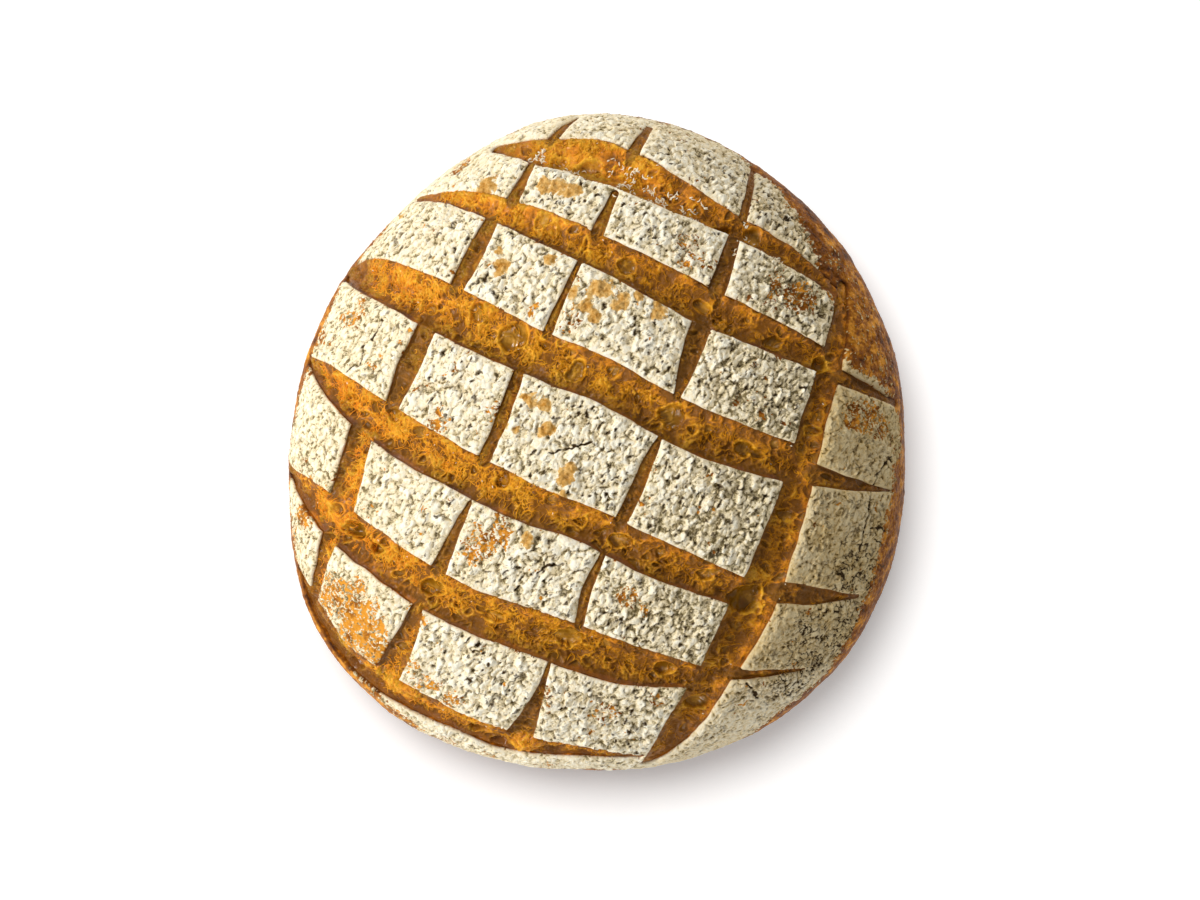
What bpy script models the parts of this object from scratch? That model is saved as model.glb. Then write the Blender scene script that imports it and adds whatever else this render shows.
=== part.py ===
"""Round sourdough loaf with a lattice of open blade cuts, as one closed solid.

Units are metres and +Z is up. The origin is the middle of the loaf's box, on the base.
Places on the crust are given as a baker sees them: in millimetres measured along the
skin from the crown, x to the right and y away. The cuts were made in the raw skin and
opened in the oven, so each is a line of stations with the width that it opened to.
"""

import math

import bmesh
import bpy
import numpy as np

MM = 0.001

# Driving dimensions, in millimetres.
LOAF_HEIGHT = 95.0
MEAN_RADIUS = 118.6
WIDEST_LEVEL = 34.0
BASE_SHARE = 0.78
CROWN_SQUARENESS = 0.92
SHOULDER_SQUARENESS = 0.94
HEEL_SQUARENESS = 0.85
# How the outline leaves a circle: (waves round the loaf, height in millimetres, degrees of a crest).
OUTLINE_WAVES = ((2, 3.8, 73.0), (3, 2.8, -31.0), (4, 0.6, 41.0), (5, 0.9, 15.0), (6, 0.5, -27.0))

# The part of the starting sphere that becomes the flat base, in degrees from its pole.
BASE_POLE_ANGLE = 40.0
SKIN_SUBDIVISIONS = 5
PROFILE_STEPS = 2000
OUTLINE_STEPS = 1440
NORMAL_STEP = 0.5
SHARP_ANGLE = 40.0

# A cut is deeper where it opened wider, and never deeper than it is wide.
CUT_LEAST_WIDTH = 0.8
CUT_LEAST_DEPTH = 1.5
CUT_DEPTH_PER_WIDTH = 0.30
CUT_STATION_SPACING = 7.0
CUT_BEVEL_RESOLUTION = 2
CAP_MERGE_DISTANCE = 1e-6

CRUST_COLOR = (0.60, 0.47, 0.30, 1.0)
CRUST_ROUGHNESS = 0.85

# Long scores, from the left rim to the right: (x, y, width) along the skin from the crown.
LONG_SCORES = {
    "score_1": (
        (-40, 121, 6), (-18, 111, 15), (4, 103, 19), (26, 92, 15), (48, 83, 10), (71, 74, 9), (95, 61, 3),
    ),
    "score_2": (
        (-78, 109, 2), (-49, 96, 8), (-24, 82, 11), (2, 67, 12), (29, 55, 14), (56, 45, 13), (86, 34, 10),
    ),
    "score_3": (
        (-112, 80, 8), (-97, 74, 15), (-79, 65, 18), (-49, 49, 19), (-20, 34, 16), (10, 20, 15), (40, 6, 17),
        (74, -5, 15),
    ),
    "score_4": (
        (-126, 40, 4), (-110, 30, 11), (-93, 18, 15), (-69, 3, 16), (-40, -11, 14), (-10, -23, 13),
        (19, -37, 14), (53, -51, 11),
    ),
    "score_5": (
        (-137, -8, 5), (-116, -17, 12), (-97, -28, 15), (-73, -40, 15), (-52, -51, 16), (-22, -65, 17),
        (8, -77, 17), (37, -83, 10),
    ),
    "score_6": (
        (-127, -51, 5), (-119, -62, 15), (-102, -79, 17), (-78, -91, 16), (-55, -102, 13), (-33, -115, 14),
        (-8, -119, 8), (17, -124, 3),
    ),
    "cross_score": (
        (97, 65, 5), (90, 38, 10), (82, 13, 11), (75, -12, 12), (65, -36, 15), (54, -60, 17), (43, -83, 14),
        (32, -106, 14), (20, -131, 5),
    ),
}

# Short slits across the strips between the long scores, top to bottom, in columns.
SHORT_SLITS = {
    "slit_1a": ((-18, 116, 5), (-8, 135, 2)),
    "slit_1b": ((-24, 107, 3), (-32, 90, 6)),
    "slit_1c": ((-38, 88, 6), (-46, 74, 8), (-54, 60, 6)),
    "slit_1d": ((-64, 49, 8), (-72, 32, 9), (-79, 16, 6)),
    "slit_1e": ((-91, 8, 11), (-95, -8, 13), (-98, -22, 13)),
    "slit_1f": ((-102, -32, 9), (-107, -44, 7), (-113, -58, 6)),
    "slit_1g": ((-61, -50, 3), (-68, -66, 8), (-77, -81, 10)),
    "slit_2a": ((20, 125, 3), (11, 104, 6)),
    "slit_2b": ((6, 90, 3), (-1, 73, 5)),
    "slit_2c": ((-6, 65, 2), (-18, 41, 4)),
    "slit_2d": ((-28, 31, 4), (-35, 13, 5), (-42, -4, 5)),
    "slit_2e": ((-45, -18, 2), (-55, -41, 6)),
    "slit_2f": ((-17, -75, 1), (-23, -93, 5), (-30, -109, 11)),
    "slit_3a": ((62, 112, 2), (53, 84, 4)),
    "slit_3b": ((50, 79, 5), (42, 56, 7)),
    "slit_3c": ((38, 48, 8), (33, 34, 7), (28, 19, 3)),
    "slit_3d": ((23, 6, 2), (15, -10, 5), (7, -27, 4)),
    "slit_3e": ((2, -36, 2), (-4, -50, 4), (-7, -64, 3)),
    "slit_4a": ((87, 30, 5), (107, 24, 5), (124, 20, 2)),
    "slit_4b": ((77, -8, 9), (100, -13, 5), (120, -16, 1)),
    "slit_4c": ((62, -51, 5), (82, -54, 6), (101, -57, 1)),
    "slit_4d": ((43, -82, 6), (62, -83, 4), (80, -84, 1)),
}


def empty_scene():
    for old in list(bpy.data.objects):
        bpy.data.objects.remove(old, do_unlink=True)


def new_collection(name, rendered=True):
    collection = bpy.data.collections.new(name)
    collection.hide_render = not rendered
    bpy.context.scene.collection.children.link(collection)
    return collection


def outline_radius(angle):
    """Widest radius of the loaf in a direction, in millimetres."""
    radius = MEAN_RADIUS
    for count, height, crest in OUTLINE_WAVES:
        radius = radius + height * np.cos(count * (angle - math.radians(crest)))
    return radius


def outline_middle():
    """Middle of the outline's box, as seen from the crown."""
    angle = np.linspace(0.0, 2.0 * math.pi, OUTLINE_STEPS, endpoint=False)
    radius = outline_radius(angle)
    x, y = radius * np.cos(angle), radius * np.sin(angle)
    return (x.max() + x.min()) / 2.0, (y.max() + y.min()) / 2.0


def meridian():
    """The loaf's side profile from crown to heel: skin length, share of the widest radius, and height."""
    turn = np.linspace(0.0, math.pi, PROFILE_STEPS + 1)
    across, along = np.abs(np.sin(turn)), np.abs(np.cos(turn))
    above = turn <= math.pi / 2.0
    dome_share = across**SHOULDER_SQUARENESS
    heel_share = BASE_SHARE + (1.0 - BASE_SHARE) * across**HEEL_SQUARENESS
    share = np.where(above, dome_share, heel_share)
    dome_height = WIDEST_LEVEL + (LOAF_HEIGHT - WIDEST_LEVEL) * along**CROWN_SQUARENESS
    heel_height = WIDEST_LEVEL * (1.0 - along**HEEL_SQUARENESS)
    height = np.where(above, dome_height, heel_height)
    steps = np.hypot(np.diff(share * MEAN_RADIUS), np.diff(height))
    return np.concatenate(([0.0], np.cumsum(steps))), share, height


SKIN_LENGTH, SKIN_SHARE, SKIN_HEIGHT = meridian()
MIDDLE_X, MIDDLE_Y = outline_middle()


def on_skin(x, y):
    """Points in metres for places measured along the skin from the crown."""
    angle, length = np.arctan2(y, x), np.hypot(x, y)
    radius = outline_radius(angle) * np.interp(length, SKIN_LENGTH, SKIN_SHARE)
    across = radius * np.cos(angle) - MIDDLE_X
    away = radius * np.sin(angle) - MIDDLE_Y
    height = np.interp(length, SKIN_LENGTH, SKIN_HEIGHT)
    return np.stack((across, away, height), axis=-1) * MM


def skin_normals(x, y):
    """Outward directions of the skin at those places."""
    along_x = on_skin(x + NORMAL_STEP, y) - on_skin(x - NORMAL_STEP, y)
    along_y = on_skin(x, y + NORMAL_STEP) - on_skin(x, y - NORMAL_STEP)
    normal = np.cross(along_x, along_y)
    return normal / np.linalg.norm(normal, axis=-1, keepdims=True)


def between(before, start, end, after, share):
    """A point of the Catmull-Rom curve from start to end."""
    slope = end - before
    bend = 2.0 * before - 5.0 * start + 4.0 * end - after
    twist = 3.0 * start - before - 3.0 * end + after
    return start + 0.5 * (slope * share + bend * share**2 + twist * share**3)


def through_stations(stations):
    """Evenly spaced (x, y, width) along a smooth curve through a cut's stations."""
    given = np.array(stations, float)
    points = np.vstack((2.0 * given[0] - given[1], given, 2.0 * given[-1] - given[-2]))
    rows = []
    for before, start, end, after in zip(points, points[1:], points[2:], points[3:]):
        count = max(1, round(math.dist(start[:2], end[:2]) / CUT_STATION_SPACING))
        rows += [between(before, start, end, after, step / count) for step in range(count)]
    return np.array([*rows, given[-1]])


def bread_material():
    material = bpy.data.materials.new("floured baked crust")
    material.use_nodes = True
    surface = material.node_tree.nodes["Principled BSDF"]
    surface.inputs["Base Color"].default_value = CRUST_COLOR
    surface.inputs["Roughness"].default_value = CRUST_ROUGHNESS
    surface.inputs["Metallic"].default_value = 0.0
    return material


def dough_body(collection):
    """The risen loaf before its cuts: a sphere drawn out to the loaf's profile, with a flat base."""
    mesh = bpy.data.meshes.new("loaf")
    shape = bmesh.new()
    bmesh.ops.create_icosphere(shape, subdivisions=SKIN_SUBDIVISIONS, radius=1.0)
    shape.to_mesh(mesh)
    shape.free()
    points = np.empty(len(mesh.vertices) * 3, np.float32)
    mesh.vertices.foreach_get("co", points)
    points = points.reshape(-1, 3).astype(float)
    angle = np.arctan2(points[:, 1], points[:, 0])
    polar = np.degrees(np.arccos(np.clip(points[:, 2], -1.0, 1.0)))
    heel = 180.0 - BASE_POLE_ANGLE
    skin = SKIN_LENGTH[-1] * np.minimum(polar / heel, 1.0)
    placed = on_skin(skin * np.cos(angle), skin * np.sin(angle))
    inward = np.clip((180.0 - polar) / BASE_POLE_ANGLE, 0.0, 1.0)[:, None]
    centre = np.array((-MIDDLE_X, -MIDDLE_Y, 0.0)) * MM
    flat = centre + (placed - centre) * inward
    flat[:, 2] = 0.0
    placed = np.where((polar > heel)[:, None], flat, placed)
    mesh.vertices.foreach_set("co", placed.astype(np.float32).ravel())
    mesh.update()
    mesh.shade_smooth()
    mesh.set_sharp_from_angle(angle=math.radians(SHARP_ANGLE))
    loaf = bpy.data.objects.new("loaf", mesh)
    loaf.data.materials.append(bread_material())
    collection.objects.link(loaf)
    return loaf


def cut_tool(name, stations, collection):
    """A round-bottomed cutter along the skin: as wide as the cut opened, and deeper where it is wider."""
    rows = through_stations(stations)
    x, y = rows[:, 0], rows[:, 1]
    width = np.maximum(rows[:, 2], CUT_LEAST_WIDTH)
    depth = np.minimum(CUT_LEAST_DEPTH + CUT_DEPTH_PER_WIDTH * width, width)
    radius = (width**2 / 4.0 + depth**2) / (2.0 * depth)
    centres = on_skin(x, y) + skin_normals(x, y) * ((radius - depth) * MM)[:, None]
    curve = bpy.data.curves.new(name, "CURVE")
    curve.dimensions = "3D"
    curve.bevel_depth = MM
    curve.bevel_resolution = CUT_BEVEL_RESOLUTION
    curve.use_fill_caps = True
    line = curve.splines.new("POLY")
    line.points.add(len(centres) - 1)
    for point, place, size in zip(line.points, centres, radius):
        point.co = (*place, 1.0)
        point.radius = size
    guide = bpy.data.objects.new(name + "_guide", curve)
    collection.objects.link(guide)
    graph = bpy.context.evaluated_depsgraph_get()
    mesh = bpy.data.meshes.new_from_object(guide.evaluated_get(graph))
    shape = bmesh.new()
    shape.from_mesh(mesh)
    bmesh.ops.remove_doubles(shape, verts=shape.verts, dist=CAP_MERGE_DISTANCE)
    bmesh.ops.recalc_face_normals(shape, faces=shape.faces)
    shape.to_mesh(mesh)
    shape.free()
    mesh.name = name
    tool = bpy.data.objects.new(name, mesh)
    tool.matrix_world = guide.matrix_world
    tool.hide_render = True
    tool.display_type = "WIRE"
    collection.objects.link(tool)
    bpy.data.objects.remove(guide, do_unlink=True)
    return tool


def open_cut(loaf, tool):
    modifier = loaf.modifiers.new(tool.name, "BOOLEAN")
    modifier.operation = "DIFFERENCE"
    modifier.solver = "EXACT"
    modifier.object = tool


def main():
    empty_scene()
    loaf = dough_body(new_collection("sourdough_loaf"))
    tools = new_collection("cutters", rendered=False)
    for name, stations in {**LONG_SCORES, **SHORT_SLITS}.items():
        open_cut(loaf, cut_tool(name, stations, tools))


main()
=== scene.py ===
"""Round floured sourdough loaf with a lattice of open scores.

Places on the crust are in skin millimetres: measured along the skin from the crown, x to
the right and y away. Each piece is modelled flat, as if the skin were unrolled on a table,
with z as its height over the skin, and one function then wraps it on the risen loaf.
"""

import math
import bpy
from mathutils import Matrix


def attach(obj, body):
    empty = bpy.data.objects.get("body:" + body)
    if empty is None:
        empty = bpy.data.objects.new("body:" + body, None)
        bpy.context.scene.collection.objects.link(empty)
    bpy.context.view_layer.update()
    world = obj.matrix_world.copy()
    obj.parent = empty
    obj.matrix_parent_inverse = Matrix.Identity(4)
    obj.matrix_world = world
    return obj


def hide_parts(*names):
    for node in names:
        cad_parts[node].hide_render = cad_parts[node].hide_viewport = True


bl_info = {
    "name": "Floured Sourdough Loaf",
    "version": (1, 0, 0),
    "blender": (4, 5, 0),
    "location": "View3D > Sidebar > Loaf",
    "description": "Makes a scored, floured sourdough loaf and its studio",
    "category": "Add Mesh",
}

from functools import partial
from itertools import product

import bmesh
import bpy
import numpy as np
from bpy.props import FloatProperty, FloatVectorProperty, IntProperty, PointerProperty
from mathutils import Euler, Matrix, Vector

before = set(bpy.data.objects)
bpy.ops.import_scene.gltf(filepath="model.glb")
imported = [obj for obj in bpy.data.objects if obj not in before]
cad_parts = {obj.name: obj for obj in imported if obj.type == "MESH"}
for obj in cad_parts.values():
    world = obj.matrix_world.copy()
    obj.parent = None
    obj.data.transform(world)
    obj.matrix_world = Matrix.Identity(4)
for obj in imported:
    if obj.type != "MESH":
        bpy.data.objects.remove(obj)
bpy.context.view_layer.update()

MM = 0.001

# The loaf's own shape, in millimetres.
LOAF_HEIGHT = 95.0
MEAN_RADIUS = 118.6
WIDEST_LEVEL = 34.0
BASE_SHARE = 0.78
CROWN_SQUARENESS = 0.92
SHOULDER_SQUARENESS = 0.94
HEEL_SQUARENESS = 0.85
# How the outline leaves a circle: (waves round the loaf, height in millimetres, degrees of a crest).
OUTLINE_WAVES = ((2, 3.8, 73.0), (3, 2.8, -31.0), (4, 0.6, 41.0), (5, 0.9, 15.0), (6, 0.5, -27.0))
PROFILE_STEPS = 2000
OUTLINE_STEPS = 1440
NORMAL_STEP = 0.4

# The six long scores from the far side to the near one, each from the left rim to the right:
# (x, y, opened width) in skin millimetres.
LONG_SCORES = (
    ((-40, 121, 6), (-18, 111, 15), (4, 103, 19), (26, 92, 15), (48, 83, 10), (71, 74, 9), (95, 61, 3)),
    ((-78, 109, 2), (-49, 96, 8), (-24, 82, 11), (2, 67, 12), (29, 55, 14), (56, 45, 13), (86, 34, 10)),
    (
        (-112, 80, 8), (-97, 74, 15), (-79, 65, 18), (-49, 49, 19), (-20, 34, 16), (10, 20, 15),
        (40, 6, 17), (74, -5, 15),
    ),
    (
        (-126, 40, 4), (-110, 30, 11), (-93, 18, 15), (-69, 3, 16), (-40, -11, 14), (-10, -23, 13),
        (19, -37, 14), (53, -51, 11),
    ),
    (
        (-137, -8, 5), (-116, -17, 12), (-97, -28, 15), (-73, -40, 15), (-52, -51, 16), (-22, -65, 17),
        (8, -77, 17), (37, -83, 10),
    ),
    (
        (-126, -50, 5), (-116, -60, 12), (-100, -77, 14), (-77, -90, 14), (-55, -102, 12), (-33, -114, 13),
        (-8, -119, 8), (17, -124, 3),
    ),
)
CROSS_SCORE = (
    (97, 65, 5), (90, 38, 10), (82, 13, 11), (75, -12, 12), (65, -36, 15), (54, -60, 17), (43, -83, 14),
    (32, -106, 14), (20, -131, 5),
)
# Short slits across the strips between the long scores, top to bottom, in columns.
SHORT_SLITS = (
    ((-18, 116, 5), (-8, 135, 2)),
    ((-24, 107, 3), (-32, 90, 6)),
    ((-38, 88, 6), (-46, 74, 8), (-54, 60, 6)),
    ((-64, 49, 8), (-72, 32, 9), (-79, 16, 6)),
    ((-91, 8, 11), (-95, -8, 13), (-98, -22, 13)),
    ((-102, -32, 9), (-107, -44, 7), (-113, -58, 6)),
    ((-61, -50, 3), (-68, -66, 8), (-77, -81, 10)),
    ((20, 125, 3), (11, 104, 6)),
    ((6, 90, 3), (-1, 73, 5)),
    ((-6, 65, 2), (-18, 41, 4)),
    ((-28, 31, 4), (-35, 13, 5), (-42, -4, 5)),
    ((-45, -18, 2), (-55, -41, 6)),
    ((-17, -75, 1), (-23, -93, 5), (-30, -109, 11)),
    ((62, 112, 2), (53, 84, 4)),
    ((50, 79, 5), (42, 56, 7)),
    ((38, 48, 8), (33, 34, 7), (28, 19, 3)),
    ((23, 6, 2), (15, -10, 5), (7, -27, 4)),
    ((2, -36, 2), (-4, -50, 4), (-7, -64, 3)),
    ((87, 30, 6), (107, 24, 5), (124, 20, 2)),
    ((79, -8, 9), (100, -13, 5), (120, -16, 1)),
    ((64, -51, 8), (81, -54, 7), (103, -57, 1)),
    ((43, -82, 6), (62, -83, 4), (80, -84, 1)),
)
CUT_STATION_SPACING = 3.5
CUT_LEAST_WIDTH = 0.8
# How far from a cut its distance is still worked out.
CUT_REACH = 16.0
# The cuts are numbered from the long scores on: here are the cross score's number and that of the first
# of the slits on the right flank, which come last.
CROSS = len(LONG_SCORES)
FLANK_SLITS = 4
FIRST_FLANK_SLIT = CROSS + 1 + len(SHORT_SLITS) - FLANK_SLITS
# The direction that the long scores run in.
SCORE_LEAN = math.radians(-25.5)
# A score's depth for each unit of its width, and the height of the broken crust beside it.
SCORE_DEPTH = 0.27
CRUST_THICKNESS = 1.7

# How far left of the cross score's line its own crumb starts.
CROSS_CRUMB_REACH = 24.0
# How far the crumb reaches under the plates.
CRUMB_TUCK = 1.2
# A sheet's broken edge, as (drop, inset) steps down from its rim.
PLATE_EDGE = ((0.5, -0.10), (0.6, 0.12), (7.2, 0.35))
CRUMB_EDGE = ((3.0, 0.0),)
# How far the middle of a sheet's underside lies below its rim.
UNDERSIDE_DROP = 22.0

# Where the plates stop and the plain side begins, along the skin.
PLATE_END = 150.0
# How far down the skin the flour reaches, as (degrees round the loaf, millimetres).
FLOUR_REACH = (
    (-180, 138), (-160, 133), (-145, 128), (-130, 134), (-110, 142), (-90, 140), (-72, 144), (-64, 136),
    (-57, 131), (-41, 130), (-29, 123), (-12, 121), (-3, 125), (6, 131), (12, 122), (18, 104), (38, 108),
    (50, 124), (65, 136), (90, 141), (120, 144), (140, 136), (160, 130), (180, 138),
)

PLATE_NAMES = (
    "plates_far_rim", "plates_row_1", "plates_row_2", "plates_row_3", "plates_row_4", "plates_row_5",
    "plates_near_rim", "plates_right_flank",
)
CRUMB_NAMES = (
    "crumb_score_1", "crumb_score_2", "crumb_score_3", "crumb_score_4", "crumb_score_5", "crumb_score_6",
    "crumb_cross_score",
)
THREAD_NAMES = ("gluten_threads_1", "gluten_threads_2", "gluten_threads_3")
THREADS_IN_PIECE = 1500
THREAD_POINTS = 9
THREAD_RADIUS = 0.18
# Places tried for a thread and for a flake of loose flour, and the flakes that spilled in heaps.
THREAD_TRIES = 140000
FLAKE_TRIES = 900
SPILLED_FLAKES = 300
# Rings of the body at which their spacing changes, from crown to base, and how far along the skin they lie.
BODY_RINGS = (0, 8, 80, 94)
BODY_RING_SKIN = (0.0, 134.0, 195.27, 195.27)
HEEL_RING, LAST_RING = BODY_RINGS[2:]
# Lights, as (name, watts, width in metres, degrees round, degrees up, metres away).
STUDIO_LIGHTS = (
    ("key_light", 20.4, 0.28, 177.0, 33.0, 1.7),
    ("far_fill", 10.6, 0.5, 98.0, 34.0, 1.7),
    ("near_fill", 8.4, 0.5, 248.0, 30.0, 1.7),
    ("paper_light", 33.0, 0.9, 125.0, 72.0, 2.0),
)
# The point that the lights face, in metres, and the strength of the light from all round.
LIGHTS_AIM = (0.0, 0.0, 0.04)
ROOM_LIGHT = 0.315
# The camera's place beside the loaf's middle, in metres.
CAMERA_ASIDE = (0.000814, 0.000592)

# Smooth bare blisters where the flour came away: (x, y, radius).
BARE_BLISTERS = (
    (-42, 100, 4.4), (-19, 96, 3.6), (-14, 94, 3.8), (-9, 91, 3.6), (-35, 67, 3.6), (-36, 73, 2.2),
    (-17, 66, 2.6), (1, 54, 4.4), (8, 51, 3.6), (-4, 49, 2.6), (-8, 54, 2.8), (14, 53, 2.4), (21, 48, 3.6),
    (-1, 45, 2.4), (-11, 34, 3.0), (-25, 19, 3.4), (-19, 17, 3.0), (-19, 8, 3.0), (-11, -9, 3.4),
    (-9, -6, 2.4), (-12, -15, 2.6), (-34, 10, 2.4), (-30, 8, 2.0), (-84, 101, 2.2), (-24, -30, 3.2),
    (-13, -26, 2.4),
)
# Places where the flour is thin over toasted crust: (x, y, radius, how bare).
THIN_FLOUR = (
    (-40, -32, 9, 0.5), (-32, -27, 7, 0.5), (-93, -55, 12, 0.52), (-86, -64, 13, 0.64),
    (-96, -70, 10, 0.64), (-80, -72, 10, 0.6), (-60, -84, 9, 0.46), (-54, -90, 6, 0.5), (-66, -76, 6, 0.4),
    (66, 62, 8, 0.38), (75, 58, 8, 0.56), (62, 54, 6, 0.34), (-114, -16, 7, 0.5), (-118, -26, 7, 0.65),
    (10, -53, 7, 0.45), (16, -56, 4, 0.5), (-99, 54, 6, 0.42), (-94, 59, 5, 0.4), (-57, 118, 7, 0.5),
    (124, 60, 17, 0.84), (106, 56, 14, 0.82), (114, 40, 14, 0.76), (104, 80, 12, 0.6), (-67, 24, 6, 0.34),
    (-60, 10, 6, 0.42), (44, 26, 5, 0.36), (50, 18, 4, 0.34), (98, 16, 8, 0.52), (106, 14, 8, 0.52),
    (112, 10, 7, 0.46), (-53, 68, 3, 0.4), (-104, -86, 6, 0.6), (14, 86, 5, 0.28), (30, 72, 8, 0.34),
    (38, 66, 6, 0.3), (92, 72, 9, 0.32), (-8, 44, 6, 0.36), (-62, -58, 6, 0.38), (-84, -22, 5, 0.28),
    (-118, 48, 6, 0.45), (-126, 34, 6, 0.55), (-134, 16, 6, 0.55), (78, 100, 9, 0.3), (60, 122, 8, 0.28),
    (-36, 14, 6, 0.4), (22, -92, 6, 0.34), (2, -98, 7, 0.36), (-20, -92, 6, 0.36), (60, 14, 5, 0.3),
    (30, 30, 4, 0.3), (-92, -98, 10, 0.82), (-80, -109, 9, 0.76), (-102, -88, 9, 0.74),
    (-62, -119, 8, 0.45), (-113, -73, 7, 0.6), (-121, -60, 6, 0.55), (-104, -60, 9, 0.5),
    (-90, -80, 8, 0.5), (-100, -50, 7, 0.4), (-44, -127, 7, 0.42), (-20, -131, 7, 0.35),
    (-128, -34, 6, 0.5),
)
# Places where the dry flour crackled: (x, y, radius).
CRACKLED_PLACES = ((99, -42, 13), (87, -72, 20), (98, -60, 16), (106, -48, 12), (74, -88, 12))
# Bubbles that the tear laid open in the crumb: (x, y, radius, depth).
OPEN_BUBBLES = (
    (-45, 52, 4.6, 1.6), (-31, 42, 5.4, 1.5), (27, 13, 5.6, 1.4), (55, 1, 4.0, 1.4), (-78, 14, 3.8, 1.3),
    (-34, -10, 3.2, 1.2), (-91, -29, 5.4, 3.6), (-81, -35, 3.2, 2.6), (-58, -47, 4.8, 1.6),
    (-10, -67, 5.2, 1.4), (54, -54, 7.0, 2.6), (-15, 107, 3.6, 1.3), (-3, 104, 4.6, 1.0),
    (46, 81, 2.6, 2.4), (57, 80, 3.2, 2.0), (84, 33, 3.8, 2.6), (-39, -116, 3.6, 1.5), (-20, 82, 3.0, 1.0),
    (10, 64, 3.4, 1.0), (38, 52, 3.0, 1.0), (66, 40, 3.2, 1.0), (-66, 56, 3.6, 1.1), (-8, 28, 3.4, 1.0),
    (-98, 22, 3.0, 1.0), (8, -32, 3.6, 1.1), (38, -44, 3.2, 1.0), (-36, -58, 3.4, 1.1), (24, -80, 3.8, 1.2),
    (70, -24, 3.6, 1.1), (82, 8, 3.2, 1.1), (38, -96, 4.4, 1.4), (-70, -94, 3.2, 1.6), (-96, -84, 3.6, 1.8),
    (-46, -108, 4.0, 1.6),
)
# Places where torn crumb swells up between the plates: (x, y, radius, rise).
CRUMB_SWELLS = ((-28, -115.5, 5.0, 3.6), (-74, -89, 6.5, 1.6), (-98, -24, 7.0, 1.2), (-88, -20, 5.0, 0.8))
# Where loose flour spilled into the scores: (x, y, spread).
FLOUR_SPILLS = (
    (-21, 111, 3), (-9, 102, 3), (6, 92, 4), (13, 98, 4), (20, 93, 4), (9, 103, 3), (17, 86, 4),
    (32, 94, 5), (36, 86, 4), (51, 77, 3), (66, 70, 3), (24, 88, 4),
)
# Hairline cracks in the flour, as places along each: (x, y).
HAIRLINE_CRACKS = (
    ((120, -2), (111, -9), (107, -17), (105.5, -26), (103, -33), (100, -42)),
    ((110, -43), (119, -48)),
    ((107.5, -30), (117, -32)),
    ((116, -2), (121, -4)),
    ((110, -35.5), (115.5, -38)),
    ((-98, 31), (-92, 35), (-92, 40), (-91, 41)),
    ((-88, 43.5), (-84, 50)),
    ((-87, 56.5), (-84.5, 58)),
    ((-18, -0.5), (-9, 1), (-3, 4)),
    ((-22, -44), (-18, -40), (-12, -39)),
    ((55, -86), (58, -89), (60.5, -94)),
)


def linear(code):
    """A #rrggbb colour as linear red, green and blue."""
    parts = [int(code[place : place + 2], 16) / 255.0 for place in (1, 3, 5)]
    return tuple(part / 12.92 if part <= 0.04045 else ((part + 0.055) / 1.055) ** 2.4 for part in parts)


def colour(name, description, code):
    """A colour that a user may change."""
    value = linear(code)
    return FloatVectorProperty(name=name, description=description, default=value, size=3, subtype="COLOR")


def measure(name, description, default):
    """A length in metres that a user may change."""
    return FloatProperty(name=name, description=description, default=default, unit="LENGTH")


# ---------------------------------------------------------------------------------------
# What a user may change


class LoafSizes(bpy.types.PropertyGroup):
    """Sizes of the loaf's surface."""

    plate_cell: measure("Plate detail", "Mesh spacing on the floured crust", 0.00041)
    crumb_cell: measure("Crumb detail", "Mesh spacing on the torn crumb", 0.00035)
    crust_thickness: measure("Crust", "Height of the broken edge over the crumb", CRUST_THICKNESS * MM)
    flour_thickness: measure("Flour", "Thickness of the baked flour coat", 0.00028)
    flour_lump: measure("Flour lumps", "Width of a lump in the flour coat", 0.0021)
    groove_depth: FloatProperty(
        name="Score depth", description="Depth of a score for each unit of its width", default=SCORE_DEPTH
    )
    side_segments: IntProperty(name="Side detail", description="Segments round the loaf's side", default=960)
    camera_height: measure("Camera", "Height of the camera over the floor", 1.082)


class LoafColours(bpy.types.PropertyGroup):
    """Colours of the loaf's finishes."""

    flour: colour("Flour", "Thick baked flour", "#F7E6C0")
    warm_flour: colour("Toasted flour", "Flour where it browned", "#D2C096")
    # The bright and crease ends of the flour's tone also serve as painted highlight on raised flakes and
    # painted shade in creases.
    flour_bright: colour("Bright flour", "Thickest flour", "#FFF8E2")
    flour_crease: colour("Flour creases", "Thinnest flour", "#867650")
    # Partly painted shade on the right flank and low on the right side.
    tanned_flour: colour("Flour tint", "Tint of the thin flour low on the loaf", "#D2BE92")
    # Partly painted shade in the creases.
    pit: colour("Pits", "Crust seen in the creases", "#42301A")
    golden_crust: colour("Golden crust", "Lightest bare crust", "#E49A30")
    brown_crust: colour("Brown crust", "Well baked bare crust", "#98580E")
    dark_crust: colour("Dark crust", "Scorched edges", "#48240E")
    crumb_deep: colour("Deep crumb", "Hollows of the torn crumb", "#885202")
    crumb: colour("Crumb", "Torn and baked crumb", "#D08806")
    crumb_bright: colour("Bright crumb", "Raised strands of crumb", "#FCB82C")
    # Also the orange of painted light on the crumb's lit walls.
    crumb_orange: colour("Orange crumb", "Caramelised crumb", "#F09018")
    # Partly painted shade along the plates' edges.
    crumb_edge: colour("Crumb edge", "Scorched crumb beside the crust", "#84500E")
    crumb_hollow: colour("Bubble hollow", "Inside of an open bubble", "#8A600E")
    # Painted shade: the brown that the crumb mixes towards on each cut's shaded side and in the slits.
    crumb_shade: colour("Brown crumb", "Crumb by the near wall of a score", "#6E4604")
    membrane_pale: colour("Bubble film", "Palest film in a bubble", "#D69E3C")
    # Partly painted shade on the near wall of a score.
    lip_brown: colour("Score lip", "Smooth near wall of a score", "#7C4A28")
    thread_pale: colour("Pale thread", "Palest gluten threads", "#F6C658")
    blister_gold: colour("Golden blister", "Middle of a bare blister", "#B8802E")
    blister_light: colour("Blister", "Smooth bare blister on the crust", "#E2B66C")


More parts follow.
